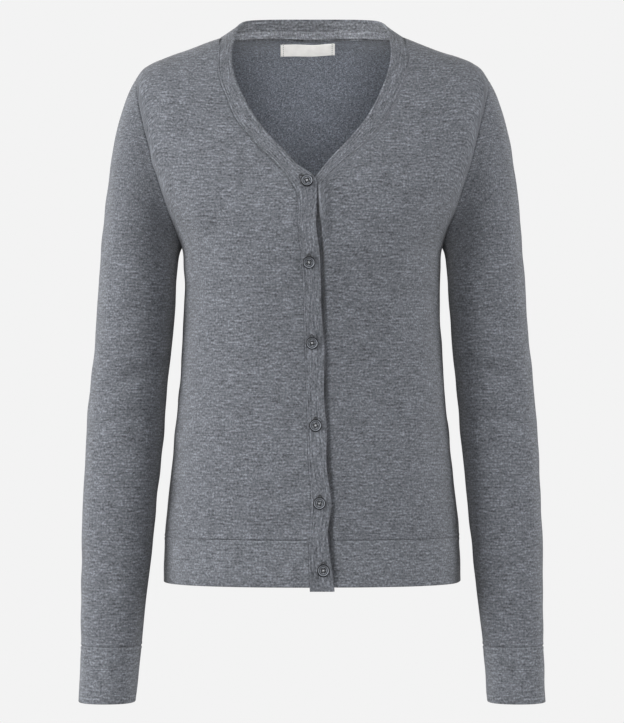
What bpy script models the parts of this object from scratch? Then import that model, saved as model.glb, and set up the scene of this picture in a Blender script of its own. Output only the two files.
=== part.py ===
"""Fine-gauge V-neck button cardigan in its worn form, hollow, with nobody inside. Metres, +Z up.

The origin is in the middle of the neck, level with the high points of the shoulders. The front faces -Y
and the wearer's left is +X. Each cut piece is one closed solid: its outer face follows the garment's form
and its inner face lies one wall further in. Neighbours are SEAM apart where they are sewn together.
"""

import math

import bmesh
import bpy
import numpy as np
from mathutils import Matrix, Vector

# Walls and small clearances
PANEL_WALL = 0.0014
FOLD_WALL = 0.0020  # hem bands and cuffs, doubled jersey
BAND_WALL = 0.0022  # neckband and plackets, folded double
LABEL_WALL = 0.0008
SEAM = 0.0003
LINING_GAP = 0.0008  # between a panel and what lies on its inside
HALF = SEAM / 2
LAP = 0.0015  # how far each front is lifted or sunk where they overlap
LAP_REACH = 0.065  # where that has faded out

# Lengths from the high point of the shoulder down
UNDERARM_Z = -0.2165
HEM_SEAM_Z = -0.5130
HEM_Z = -0.5600
PLACKET_Z = -0.5640
CUFF_SEAM_Z = -0.6230
CUFF_Z = -0.6800

# Shoulders and neck
SIDE_Y = 0.005  # the plane of side seams, shoulder seams and sleeve tops
NECK_X = 0.0940  # high point of the shoulder, where the neckband crosses it
SHOULDER_X = 0.1817  # shoulder end of the armhole
SHOULDER_Z = -0.0433
BACK_NECK_Z = 0.0005
ROUND = 2.4  # power of the torso's rounded section
SLEEVE_ROUND = 2.25  # and of a sleeve's
CAP_FRONT = 0.090  # height over which the chest rolls to the shoulder
CAP_BACK = 0.110

# Buttons, sewn through four holes
BUTTON_RADIUS = 0.00635
BUTTON_HOLE_RADIUS = 0.0007
BUTTON_HOLE_OFFSET = 0.0019
BUTTON_SIDES = 16
HOLE_SIDES = 6
BUTTON_REST = 0.0006  # a button's back above the band
BOW = 0.0024  # how far the upper band bows out between two buttons
BOW_START = 0.008  # where it starts to, above and below a button

# Facets of the pieces
COLUMNS = 8  # centre to side on half a torso
ARMHOLE_ROWS = 12  # underarm to shoulder
NECK_COLUMNS = 4  # centre back to high point of the shoulder
SIDE_ROWS = 10  # hem band to underarm on the back
SPLIT = 2  # rows above the corner where the neckband ends and the placket starts
BAND_COLUMNS = 3
CAP_ROWS = 6  # sleeve rows from the armhole to the upper arm
FOLD_ROWS = 3  # down a cuff or a hem band
TOWARDS_SHOULDER = 1.35  # power by which the neckband's rows lie closer near the shoulder
PLACKET_TOP_ROWS = (-0.200, -0.178)  # heights of the last rows below the neckline's corner

# How a sleeve leaves its armhole: level part of its heading at the shoulder and underarm, and what half way
# down adds to it. Then how strongly that heading and the hanging sleeve's slope bend the rows between them.
HEADING_ENDS = 0.58
HEADING_MIDDLE = 0.34
HEADING_PULL = 0.60
HANG_SLOPE = 0.06
HANG_PULL = 0.90


def table(names, rows):
    """Named columns of a small table."""
    return dict(zip(names.split(), np.array(rows, float).T))


TORSO = table(
    "z half_width front back",
    [
        (-0.564, 0.1532, 0.107, 0.112),
        (-0.513, 0.1517, 0.106, 0.110),
        (-0.450, 0.1453, 0.104, 0.103),
        (-0.390, 0.1394, 0.101, 0.094),
        (-0.332, 0.1346, 0.102, 0.090),
        (-0.275, 0.1316, 0.109, 0.093),
        (-0.240, 0.1322, 0.115, 0.097),
        (UNDERARM_Z, 0.1345, 0.119, 0.100),
        (-0.212, 0.1362, 0.119, 0.101),
        (-0.200, 0.1423, 0.119, 0.102),
        (-0.180, 0.1530, 0.118, 0.104),
        (-0.156, 0.1645, 0.113, 0.106),
        (-0.130, 0.1780, 0.104, 0.106),
        (-0.100, 0.1910, 0.091, 0.104),
        (-0.050, 0.2050, 0.070, 0.098),
        (0.000, 0.2150, 0.054, 0.090),
        (0.040, 0.2200, 0.045, 0.080),
    ],
)
SHOULDER = table(
    "x z",
    [
        (0.000, 0.0200),
        (0.050, 0.0125),
        (NECK_X, BACK_NECK_Z),
        (0.128, -0.0125),
        (0.153, -0.0207),
        (0.166, -0.0268),
        (0.1765, -0.0350),
        (SHOULDER_X, SHOULDER_Z),
        (0.190, -0.0600),
    ],
)
ARMHOLE = table(
    "z x",
    [
        (-0.160, 0.1550),
        (-0.130, 0.1625),
        (-0.100, 0.1698),
        (-0.070, 0.1772),
        (SHOULDER_Z, SHOULDER_X),
    ],
)
# Sleeve rings below the armhole: centre and half sizes. out is measured from the body's middle.
SLEEVE = table(
    "z out half_width y half_depth",
    [
        (-0.260, 0.1801, 0.0400, 0.004, 0.0520),
        (-0.310, 0.1840, 0.0397, 0.006, 0.0490),
        (-0.373, 0.1902, 0.0397, 0.004, 0.0455),
        (-0.435, 0.1946, 0.0392, -0.0035, 0.0425),
        (-0.497, 0.1987, 0.0370, -0.013, 0.0390),
        (-0.559, 0.2021, 0.0344, -0.022, 0.0350),
        (-0.600, 0.2043, 0.0320, -0.029, 0.0332),
        (CUFF_SEAM_Z, 0.2052, 0.0306, -0.033, 0.0325),
        (CUFF_Z, 0.2087, 0.0292, -0.040, 0.0312),
    ],
)
# The neckband down the fronts, from the corner at the first button up to the shoulder. Columns are the sewn
# seam and the free edge, both measured outwards from the middle on their own side.
NECK_RIGHT = table(
    "seam seam_z edge edge_z",
    [
        (0.0168, -0.1610, -0.0022, -0.1482),
        (0.0290, -0.1425, 0.0150, -0.1355),
        (0.0400, -0.1300, 0.0280, -0.1210),
        (0.0525, -0.1178, 0.0400, -0.1090),
        (0.0640, -0.1045, 0.0505, -0.0955),
        (0.0745, -0.0920, 0.0588, -0.0840),
        (0.0820, -0.0775, 0.0668, -0.0700),
        (0.0880, -0.0620, 0.0735, -0.0570),
        (0.0935, -0.0480, 0.0786, -0.0431),
        (0.0960, -0.0350, 0.0815, -0.0280),
        (0.0960, -0.0220, 0.0812, -0.0120),
        (0.0948, -0.0110, 0.0785, 0.0020),
        (NECK_X, BACK_NECK_Z, 0.0748, 0.0135),
    ],
)
NECK_LEFT = table(
    "seam seam_z edge edge_z",
    [
        (0.0098, -0.1570, -0.0072, -0.1585),
        (0.0180, -0.1450, 0.0045, -0.1450),
        (0.0300, -0.1335, 0.0185, -0.1295),
        (0.0430, -0.1222, 0.0330, -0.1140),
        (0.0560, -0.1100, 0.0455, -0.1000),
        (0.0680, -0.0970, 0.0555, -0.0860),
        (0.0770, -0.0830, 0.0635, -0.0725),
        (0.0845, -0.0669, 0.0700, -0.0585),
        (0.0912, -0.0520, 0.0755, -0.0440),
        (0.0966, -0.0385, 0.0794, -0.0280),
        (0.0980, -0.0220, 0.0806, -0.0120),
        (0.0962, -0.0110, 0.0785, 0.0020),
        (NECK_X, BACK_NECK_Z, 0.0748, 0.0135),
    ],
)
# The neckband round the back, from the middle to the high point of the shoulder
NECK_BACK = table(
    "seam seam_z edge edge_y edge_z",
    [
        (0.0000, 0.0036, 0.0000, 0.0500, 0.0245),
        (0.0300, 0.0034, 0.0280, 0.0480, 0.0242),
        (0.0560, 0.0027, 0.0505, 0.0410, 0.0232),
        (0.0780, 0.0015, 0.0665, 0.0275, 0.0210),
        (NECK_X, BACK_NECK_Z, 0.0748, 0.0030, 0.0135),
    ],
)
# The straight run of the plackets: the upper band waves a little along its free edge
PLACKET_RIGHT = table(
    "z seam edge",
    [
        (PLACKET_Z, 0.0020, -0.0224),
        (-0.531, 0.0030, -0.0180),
        (-0.507, 0.0026, -0.0155),
        (-0.478, 0.0006, -0.0187),
        (-0.438, 0.0035, -0.0142),
        (-0.400, 0.0048, -0.0143),
        (-0.372, 0.0056, -0.0118),
        (-0.318, 0.0073, -0.0120),
        (-0.285, 0.0083, -0.0092),
        (-0.250, 0.0090, -0.0085),
        (-0.228, 0.0108, -0.0078),
        (-0.205, 0.0138, -0.0042),
        (-0.176, 0.0156, -0.0034),
    ],
)
PLACKET_LEFT = table(
    "z seam edge",
    [
        (PLACKET_Z, 0.0226, 0.0041),
        (-0.531, 0.0222, 0.0037),
        (-0.497, 0.0198, 0.0013),
        (-0.460, 0.0168, -0.0017),
        (-0.420, 0.0145, -0.0040),
        (-0.380, 0.0130, -0.0055),
        (-0.330, 0.0122, -0.0063),
        (-0.285, 0.0102, -0.0083),
        (-0.250, 0.0092, -0.0093),
        (-0.218, 0.0104, -0.0081),
        (-0.194, 0.0123, -0.0062),
        (-0.176, 0.0113, -0.0072),
    ],
)
BUTTONS = table(
    "x z",
    [
        (-0.0050, -0.1535),
        (-0.0030, -0.2339),
        (0.0001, -0.3147),
        (0.0035, -0.3977),
        (0.0074, -0.4756),
        (0.0113, -0.5428),
    ],
)
# A button from the rim of its back, round its raised rim and down to the floor with the holes
BUTTON_RINGS = table(
    "radius height",
    [
        (0.0050, 0.0000),
        (0.0061, 0.0005),
        (BUTTON_RADIUS, 0.0014),
        (0.0059, 0.0023),
        (0.0051, 0.0026),
        (0.0044, 0.0022),
        (0.0040, 0.0016),
    ],
)
# Label inside the back neck
LABEL_X = (-0.0333, 0.0242)
LABEL_Z = (-0.0118, 0.0016)
TAPE_SPAN = (0.20, 1.30)  # columns of the neckband that the neck tape covers
TAPE_START = 0.6  # rows from the high point of the shoulder to the end of the tape

# Soft creases: face is -1 on front faces and 1 on back faces, slope is in degrees from level
FOLDS = table(
    "face x z slope length width depth",
    [
        (-1, 0.048, -0.440, 82, 0.110, 0.016, -0.0022),
        (-1, -0.185, -0.350, 22, 0.034, 0.008, -0.0024),
        (-1, -0.192, -0.388, -18, 0.030, 0.008, -0.0022),
        (-1, 0.186, -0.345, -24, 0.034, 0.008, -0.0026),
        (-1, 0.194, -0.392, 16, 0.030, 0.008, -0.0022),
        (1, 0.010, -0.338, 5, 0.090, 0.013, -0.0030),
        (1, -0.045, -0.378, -9, 0.075, 0.012, -0.0024),
        (1, -0.100, -0.262, 38, 0.045, 0.011, -0.0024),
        (1, 0.100, -0.262, -38, 0.045, 0.011, -0.0024),
        (1, 0.188, -0.365, 12, 0.034, 0.009, -0.0028),
        (1, -0.188, -0.365, -12, 0.034, 0.009, -0.0028),
    ],
)

# name, colour, roughness
KNIT = ("grey_melange_knit", (0.190, 0.200, 0.220, 1.0), 0.95)
TRIM = ("grey_band_knit", (0.200, 0.212, 0.233, 1.0), 0.95)
RESIN = ("grey_button_resin", (0.130, 0.138, 0.155, 1.0), 0.35)
WOVEN = ("cream_woven_label", (0.720, 0.700, 0.660, 1.0), 0.80)


# Curves and vectors


def smooth(knots, values, at):
    """A cubic through rising knots, held level beyond both ends."""
    at = np.clip(at, knots[0], knots[-1])
    slope = np.gradient(values, knots)
    i = np.clip(np.searchsorted(knots, at, side="right") - 1, 0, len(knots) - 2)
    step = knots[i + 1] - knots[i]
    t = (at - knots[i]) / step
    start = values[i] * (1 + 2 * t) + slope[i] * step * t
    end = values[i + 1] * (3 - 2 * t) - slope[i + 1] * step * (1 - t)
    return start * (1 - t) ** 2 + end * t**2


def unit(vectors):
    return vectors / np.linalg.norm(vectors, axis=-1, keepdims=True)


def stack(x, y, z):
    return np.stack(np.broadcast_arrays(x, y, z), axis=-1).astype(float)


def ease(t):
    t = np.clip(t, 0, 1)
    return t * t * (3 - 2 * t)


# The torso's form


def section(x, z, back):
    """What the rounded torso section leaves for depth at (x, z), and the depth there if it were all left."""
    depth = smooth(TORSO["z"], TORSO["back" if back else "front"], z)
    across = (np.abs(x) / smooth(TORSO["z"], TORSO["half_width"], z)) ** ROUND
    ridge = smooth(SHOULDER["x"], SHOULDER["z"], np.abs(x))
    ridge_width = smooth(TORSO["z"], TORSO["half_width"], ridge)
    crown = np.clip(1 - (np.abs(x) / ridge_width) ** ROUND, 0, 1) ** (1 / ROUND)
    cap = CAP_BACK if back else CAP_FRONT
    rise = (np.maximum(0, z - ridge + cap * crown) / cap) ** ROUND
    return 1 - across - rise, depth


def torso_normal(points, back):
    """Outward normals of the torso's form, from its level function."""

    def level(p):
        left, depth = section(p[..., 0], p[..., 2], back)
        return (np.abs(p[..., 1] - SIDE_Y) / depth) ** ROUND - left

    step = 1e-5
    shifts = step * np.eye(3)
    return unit(np.stack([level(points + s) - level(points - s) for s in shifts], axis=-1))


def crease(points, normals):
    """How far each point moves out along its normal for the creases near it."""
    moved = np.zeros(points.shape[:-1])
    for i in range(len(FOLDS["x"])):
        turn = math.radians(FOLDS["slope"][i])
        dx = points[..., 0] - FOLDS["x"][i]
        dz = points[..., 2] - FOLDS["z"][i]
        along = (dx * math.cos(turn) + dz * math.sin(turn)) / FOLDS["length"][i]
        across = (dz * math.cos(turn) - dx * math.sin(turn)) / FOLDS["width"][i]
        facing = ease(FOLDS["face"][i] * normals[..., 1] * 2)
        moved += FOLDS["depth"][i] * facing * np.exp(-(along**2) - across**2)
    return moved


def lap(x, z, side):
    """Lift of a front near the closure: the wearer's right lies over the left."""
    if side == 0:
        return np.zeros(np.broadcast(x, z).shape)
    low = np.minimum(z, NECK_RIGHT["seam_z"][0])
    middle = smooth(PLACKET_LEFT["z"], PLACKET_LEFT["seam"] + PLACKET_LEFT["edge"], low) / 2
    away = np.hypot(x - middle, z - low)
    return -side * LAP * (1 - ease(away / LAP_REACH))


def torso(x, z, back=False, side=0, bow=0):
    """Points on the torso's outer face and their normals. side is -1 on the right front, 1 on the left."""
    left, depth = section(x, z, back)
    deep = depth * np.clip(left, 0, 1) ** (1 / ROUND)
    points = stack(x, SIDE_Y + (deep if back else -deep), z)
    normals = torso_normal(points, back)
    lift = lap(x, z, side) + crease(points, normals) + bow
    return points + normals * lift[..., None], normals


def turned(normals, outward):
    """Normals, all reversed if most of them point away from outward."""
    return -normals if np.sum(normals * outward) < 0 else normals


def grid_normals(points, outward, wrap=False):
    """Normals of a grid of points on the side that outward points to."""
    if wrap:
        across = np.roll(points, -1, axis=1) - np.roll(points, 1, axis=1)
    else:
        across = np.gradient(points, axis=1)
    return turned(unit(np.cross(across, np.gradient(points, axis=0))), outward)


# Shared seams


def armhole(side):
    """The armhole from the shoulder down the front, round the underarm and up the back.

    Its upper half is where the table puts it on the torso's form. Its lower half is half an ellipse seen from
    the side. With the loop come the seam's normals, which panels and sleeve share, and the sleeve's heading.
    """
    turn = np.arange(2 * ARMHOLE_ROWS) * math.pi / ARMHOLE_ROWS
    middle = (SHOULDER_Z + UNDERARM_Z) / 2
    z = middle + (SHOULDER_Z - middle) * np.cos(turn)
    loop, normals = np.empty((len(turn), 3)), np.empty((len(turn), 3))
    for back in (False, True):
        part = turn >= math.pi if back else turn < math.pi
        x = smooth(ARMHOLE["z"], ARMHOLE["x"], z[part])
        low = z[part] < middle
        widest = section(smooth(ARMHOLE["z"], ARMHOLE["x"], middle), middle, back)
        reach = widest[1] * widest[0] ** (1 / ROUND) * np.abs(np.sin(turn[part]))
        depth = smooth(TORSO["z"], TORSO["back" if back else "front"], z[part])
        width = smooth(TORSO["z"], TORSO["half_width"], z[part])
        x = np.where(low, width * (1 - (reach / depth) ** ROUND) ** (1 / ROUND), x)
        loop[part], normals[part] = torso(side * x, z[part], back, 0 if back else side)
    loop[0, 1] = loop[ARMHOLE_ROWS, 1] = SIDE_Y
    heading = sleeve_heading(turn, side)
    sleeve_normals = np.cross(np.roll(loop, -1, axis=0) - np.roll(loop, 1, axis=0), heading)
    sleeve_normals = turned(unit(sleeve_normals), loop - loop.mean(axis=0))
    return loop, unit(normals + sleeve_normals), turn, heading


def sleeve_heading(turn, side):
    """The way the sleeve leaves the armhole: out and down, and most level half way down."""
    out = HEADING_ENDS + HEADING_MIDDLE * np.sin(turn) ** 2
    return unit(stack(side * out, 0.0, -np.sqrt(1 - out**2)))


def front_knots(side, part):
    """Where the neckband's seam or its edge runs on one front, from the corner up to the shoulder."""
    rows = NECK_RIGHT if side < 0 else NECK_LEFT
    points, _ = torso(side * rows[part], rows[part + "_z"], False, side)
    points[-1] = back_knots(part)[-1] * (side, 1, 1)
    return points


def back_knots(part):
    """The same line round half the back, from the middle to the shoulder."""
    if part == "edge":
        return stack(NECK_BACK["edge"], NECK_BACK["edge_y"], NECK_BACK["edge_z"])
    points, _ = torso(NECK_BACK["seam"], NECK_BACK["seam_z"], True)
    points[-1, 1] = SIDE_Y
    return points


def neck_line(part, places):
    """The neckband's seam or edge as one curve from the right corner round the back to the left corner."""
    back = back_knots(part)
    right, left = front_knots(-1, part), front_knots(1, part)
    knots = np.concatenate([right[:-1], back[:0:-1] * (-1, 1, 1), back, left[-2::-1]])
    return np.stack([smooth(np.arange(len(knots)), column, places) for column in knots.T], axis=-1)


def neck_loop():
    """The neckband's grid from the right corner round the back to the left corner, and its normals."""
    front_last, back_last = len(NECK_RIGHT["seam"]) - 1, len(NECK_BACK["seam"]) - 1
    share = 1 - (1 - np.arange(ARMHOLE_ROWS) / ARMHOLE_ROWS) ** TOWARDS_SHOULDER
    back = front_last + back_last * np.linspace(0, 2, 2 * NECK_COLUMNS + 1)
    front = front_last * share
    places = np.concatenate([front, back, 2 * (front_last + back_last) - front[::-1]])
    seam, edge = neck_line("seam", places), neck_line("edge", places)
    span = np.linspace(0, 1, BAND_COLUMNS + 1)[:, None]
    points = seam[:, None] + (edge - seam)[:, None] * span
    normals = grid_normals(points, points - points.mean(axis=(0, 1)))
    is_back = np.abs(places - front_last - back_last) < back_last
    panel_normals = np.where(is_back[:, None], torso_normal(seam, True), torso_normal(seam, False))
    normals[:, 0] = unit(normals[:, 0] + panel_normals)
    return points, normals


def neck_side(side):
    """The neck loop's rows read from one front's corner onwards."""
    points, normals = neck_loop()
    return (points, normals) if side < 0 else (points[::-1], normals[::-1])


def edge_bow(z):
    """How far the upper band bows out at a height: nothing at each button, most half way between."""
    places = BUTTONS["z"][::-1]
    count = np.interp(z, places, np.arange(len(places)))
    return BOW * np.sin(math.pi * count) ** 2


def closure(side):
    """Seam and free edge of one placket, from its lower end to below the neckline's corner.

    Its rows lie at each button, a little above and below it, and half way to the next. The one nearest the
    hem's seam is moved onto it.
    """
    rows = [PLACKET_Z]
    rising = BUTTONS["z"][::-1]
    for z, above in zip(rising, rising[1:]):
        rows += [z - BOW_START, z, z + BOW_START, (z + above) / 2]
    rows[-1:] = PLACKET_TOP_ROWS
    z = np.array(rows)
    z[np.abs(z - HEM_SEAM_Z).argmin()] = HEM_SEAM_Z
    lines = PLACKET_RIGHT if side < 0 else PLACKET_LEFT
    seam = stack(side * smooth(lines["z"], lines["seam"], z), 0, z)
    edge = stack(side * smooth(lines["z"], lines["edge"], z), 0, z)
    return seam, edge


# Solids


def solid(name, outer, normals, wall, material, wrap=False):
    """One closed piece: the outer grid, an inner grid one wall in, and walls between their borders."""
    rows, columns = outer.shape[:2]
    inner = outer - normals * wall
    count = rows * columns
    last = columns if wrap else columns - 1

    def at(row, column, layer=0):
        return layer * count + row * columns + column % columns

    faces = []
    for row in range(rows - 1):
        for column in range(last):
            near, far = at(row, column), at(row, column + 1)
            faces.append([near, far, at(row + 1, column + 1), at(row + 1, column)])
    first = np.array(outer.reshape(-1, 3)[faces[0]])
    facing = np.cross(first[2] - first[0], first[3] - first[1])
    flip = np.dot(facing, normals[0, 0] + normals[1, 1]) < 0
    faces += [[corner + count for corner in reversed(face)] for face in faces]
    for row, step in ((0, 1), (rows - 1, -1)):
        for column in range(last):
            near, far = (column, column + 1)[::step]
            faces.append([at(row, near, 1), at(row, far, 1), at(row, far), at(row, near)])
    if not wrap:
        for column, step in ((0, -1), (columns - 1, 1)):
            for row in range(rows - 1):
                near, far = (row, row + 1)[::step]
                faces.append([at(near, column, 1), at(far, column, 1), at(far, column), at(near, column)])
    if flip:
        faces = [face[::-1] for face in faces]
    mesh = bpy.data.meshes.new(name)
    mesh.from_pydata(np.concatenate([outer.reshape(-1, 3), inner.reshape(-1, 3)]).tolist(), [], faces)
    mesh.shade_smooth()
    return place(name, mesh, material)


def place(name, mesh, material):
    obj = bpy.data.objects.new(name, mesh)
    if not mesh.materials:
        mesh.materials.append(material)
    bpy.context.scene.collection.objects.link(obj)
    return obj


def drawn_in(points, normals, bottom=0.0, top=0.0, left=0.0, right=0.0, wrap=False):
    """The grid with its borders moved in within the surface, square to each, to leave room at seams."""
    moved = points.copy()
    borders = (
        (bottom, np.s_[0], np.s_[1]),
        (top, np.s_[-1], np.s_[-2]),
        (left, np.s_[:, 0], np.s_[:, 1]),
        (right, np.s_[:, -1], np.s_[:, -2]),
    )
    for amount, border, inside in borders:
        line = points[border]
        along = np.gradient(line, axis=0)
        if wrap:
            along = np.roll(line, -1, axis=0) - np.roll(line, 1, axis=0)
        if amount:
            moved[border] += amount * turned(unit(np.cross(normals[border], along)), points[inside] - line)
    return moved


def patch_on(points, normals, rows, columns, depth):
    """Part of a piece's grid between two rows and two columns, which need not be whole, moved in by depth."""
    rows = np.unique(np.r_[rows, np.arange(math.ceil(rows[0]), rows[-1])])
    columns = np.unique(np.r_[columns, np.arange(math.ceil(columns[0]), columns[-1])])
    read = []
    for grid in (points, normals):
        low = np.minimum(rows.astype(int), len(grid) - 2)
        t = (rows - low)[:, None, None]
        grid = grid[low] * (1 - t) + grid[low + 1] * t
        low = np.minimum(columns.astype(int), grid.shape[1] - 2)
        t = (columns - low)[:, None]
        read.append(grid[:, low] * (1 - t) + grid[:, low + 1] * t)
    return read[0] - depth * unit(read[1]), unit(read[1])


def front_panel(side, materials):
    """One front from its hem seam to the shoulder, between placket and neckband and the side and armhole."""
    seam, _ = closure(side)
    seam = seam[seam[:, 2] >= HEM_SEAM_Z]
    low = len(seam)
    neck, neck_normals = neck_side(side)
    hole, hole_normals, _, _ = armhole(side)
    hole, hole_normals = hole[ARMHOLE_ROWS::-1], hole_normals[ARMHOLE_ROWS::-1]
    neck, neck_normals = neck[: ARMHOLE_ROWS + 1, 0], neck_normals[: ARMHOLE_ROWS + 1, 0]
    side_z = np.interp(seam[:, 2], (HEM_SEAM_Z, neck[0, 2]), (HEM_SEAM_Z, UNDERARM_Z))
    side_x = side * smooth(TORSO["z"], TORSO["half_width"], side_z)
    inner = np.concatenate([seam, neck])[:, None]
    outer = np.concatenate([stack(side_x, 0, side_z), hole])[:, None]
    share = np.arange(COLUMNS + 1) / COLUMNS
    rising = ease((np.arange(len(inner)) - low) / ARMHOLE_ROWS)[:, None]
    spread = (1 - rising) * np.sin(share * math.pi / 2) + rising * share
    x = inner[..., 0] + (outer - inner)[..., 0] * spread
    z = inner[..., 2] + (outer - inner)[..., 2] * spread
    z += rising**2 * (smooth(SHOULDER["x"], SHOULDER["z"], np.abs(x[-1])) - z[-1])
    points, normals = torso(x, z, False, side)
    points[: low + 1, -1, 1] = points[-1, :, 1] = SIDE_Y
    points[low:, 0], points[low:, -1] = neck, hole
    normals[low:, 0], normals[low:, -1] = neck_normals, hole_normals
    points = drawn_in(points, normals, HALF, HALF, HALF, HALF)
    name = "front_right" if side < 0 else "front_left"
    return solid(name, points, normals, PANEL_WALL, materials[KNIT])


def back_grid():
    """The back's grid, from its hem seam to the back neck and both shoulder seams."""
    neck, neck_normals = neck_loop()
    middle = ARMHOLE_ROWS + NECK_COLUMNS
    half = slice(middle, middle + NECK_COLUMNS + 1)
    hole, hole_normals, _, _ = armhole(1)
    order = np.r_[ARMHOLE_ROWS : 2 * ARMHOLE_ROWS, 0]
    side_z = np.linspace(HEM_SEAM_Z, UNDERARM_Z, SIDE_ROWS + 1)[:-1]
    side_x = smooth(TORSO["z"], TORSO["half_width"], side_z)
    outer = np.concatenate([stack(side_x, SIDE_Y, side_z), hole[order]])
    middle_z = np.interp(outer[:, 2], (HEM_SEAM_Z, SHOULDER_Z), (HEM_SEAM_Z, BACK_NECK_Z))[:, None]
    shoulder_x = np.linspace(NECK_X, SHOULDER_X, COLUMNS + 1)[1:]
    top_x = np.r_[neck[half, 0, 0], shoulder_x]
    top_z = np.r_[neck[half, 0, 2], smooth(SHOULDER["x"], SHOULDER["z"], shoulder_x)]
    rising = ease((np.arange(len(outer)) - SIDE_ROWS) / ARMHOLE_ROWS)[:, None]
    spread = np.sin(np.linspace(0, math.pi / 2, len(top_x)))
    x = outer[:, :1] * ((1 - rising) * spread + rising * top_x / SHOULDER_X)
    z = middle_z + (outer[:, 2:] - middle_z) * spread
    z += rising**2 * (top_z - z[-1])
    points, normals = torso(x, z, True)
    points[: SIDE_ROWS + 1, -1, 1] = points[-1, NECK_COLUMNS:, 1] = SIDE_Y
    points[SIDE_ROWS:, -1] = hole[order]
    normals[SIDE_ROWS:, -1] = hole_normals[order]
    normals[-1, : NECK_COLUMNS + 1] = neck_normals[half, 0]
    flip = (-1, 1, 1)
    points = np.concatenate([points[:, :0:-1] * flip, points], axis=1)
    normals = np.concatenate([normals[:, :0:-1] * flip, normals], axis=1)
    return drawn_in(points, normals, HALF, HALF, HALF, HALF), normals


def back_and_label(materials):
    """The whole back, and the blank woven label that hangs inside it from the neck seam."""
    points, normals = back_grid()
    solid("back", points, normals, PANEL_WALL, materials[KNIT])
    middle = points.shape[1] // 2
    columns = np.interp(LABEL_X, points[-1, :, 0], np.arange(points.shape[1]))
    rows = np.interp(LABEL_Z, points[:, middle, 2], np.arange(len(points)))
    points, normals = patch_on(points, normals, rows, columns, PANEL_WALL + LINING_GAP)
    solid("label", points, normals, LABEL_WALL, materials[WOVEN])


def sleeve_rings(side):
    """The sleeve's grid from the armhole to the cuff's edge."""
    loop, loop_normals, turn, heading = armhole(side)
    ring = [stack(*ring_at(turn, z, side)) for z in SLEEVE["z"]]
    reach = np.linalg.norm(ring[0] - loop, axis=-1, keepdims=True)
    down = unit(np.array([HANG_SLOPE * side, 0, -1.0]))
    rows = []
    for t in np.arange(CAP_ROWS) / CAP_ROWS:
        start = loop * (1 + 2 * t) + heading * reach * HEADING_PULL * t
        end = ring[0] * (3 - 2 * t) - down * reach * HANG_PULL * (1 - t)
        rows.append(start * (1 - t) ** 2 + end * t**2)
    points = np.array(rows + ring)
    normals = grid_normals(points, points - points.mean(axis=1, keepdims=True), wrap=True)
    shift = crease(points, normals)
    shift[0] = 0
    points = points + normals * shift[..., None]
    normals[0] = loop_normals
    return points, normals


def ring_at(turn, z, side):
    size = {name: smooth(SLEEVE["z"][::-1], SLEEVE[name][::-1], z) for name in SLEEVE if name != "z"}
    across, forward = rounded(np.cos(turn)), rounded(np.sin(turn))
    return side * (size["out"] + size["half_width"] * across), size["y"] - size["half_depth"] * forward, z


def rounded(share):
    return np.sign(share) * np.abs(share) ** (2 / SLEEVE_ROUND)


def sleeve_and_cuff(side, materials):
    points, normals = sleeve_rings(side)
    word = "right" if side < 0 else "left"
    sleeve = drawn_in(points[:-1], normals[:-1], HALF, HALF, wrap=True)
    solid("sleeve_" + word, sleeve, normals[:-1], PANEL_WALL, materials[KNIT], wrap=True)
    share = np.linspace(0, 1, FOLD_ROWS + 1)[:, None, None]
    cuff = points[-2] + (points[-1] - points[-2]) * share
    cuff_normals = grid_normals(cuff, cuff - cuff.mean(axis=1, keepdims=True), wrap=True)
    cuff_normals[0] = normals[-2]
    cuff = drawn_in(cuff, cuff_normals, HALF, wrap=True)
    solid("cuff_" + word, cuff, cuff_normals, FOLD_WALL, materials[TRIM], wrap=True)


def hem_bands(materials):
    """The doubled band at the hem: one on each front and one across the back."""
    share = np.arange(COLUMNS + 1) / COLUMNS
    z = np.linspace(HEM_Z, HEM_SEAM_Z, FOLD_ROWS + 1)[:, None]
    for side, word in ((-1, "right"), (1, "left")):
        rows = PLACKET_RIGHT if side < 0 else PLACKET_LEFT
        start = smooth(rows["z"], rows["seam"], z)
        width = smooth(TORSO["z"], TORSO["half_width"], z)
        x = side * (start + (width - start) * np.sin(share * math.pi / 2))
        points, normals = torso(x, z + 0 * x, False, side)
        points[:, -1, 1] = SIDE_Y
        points = drawn_in(points, normals, 0, HALF, HALF, HALF)
        solid("hem_band_" + word, points, normals, FOLD_WALL, materials[TRIM])
    share = np.linspace(-1, 1, 2 * (COLUMNS + NECK_COLUMNS) + 1)
    width = smooth(TORSO["z"], TORSO["half_width"], z)
    x = width * np.sin(share * math.pi / 2)
    points, normals = torso(x, z + 0 * x, True)
    points[:, (0, -1), 1] = SIDE_Y
    points = drawn_in(points, normals, 0, HALF, HALF, HALF)
    solid("hem_band_back", points, normals, FOLD_WALL, materials[TRIM])


def neckband(materials):
    """The folded band round the neck and, inside the back of it, a strip that covers the seam."""
    points, normals = neck_loop()
    points, normals = points[SPLIT : len(points) - SPLIT], normals[SPLIT : len(normals) - SPLIT]
    points = drawn_in(points, normals, HALF, HALF, HALF)
    solid("neckband", points, normals, BAND_WALL, materials[TRIM])
    start = ARMHOLE_ROWS - SPLIT + TAPE_START
    rows = start, len(points) - 1 - start
    points, normals = patch_on(points, normals, rows, TAPE_SPAN, BAND_WALL + LINING_GAP)
    solid("neck_tape", points, normals, LABEL_WALL, materials[TRIM])


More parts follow.
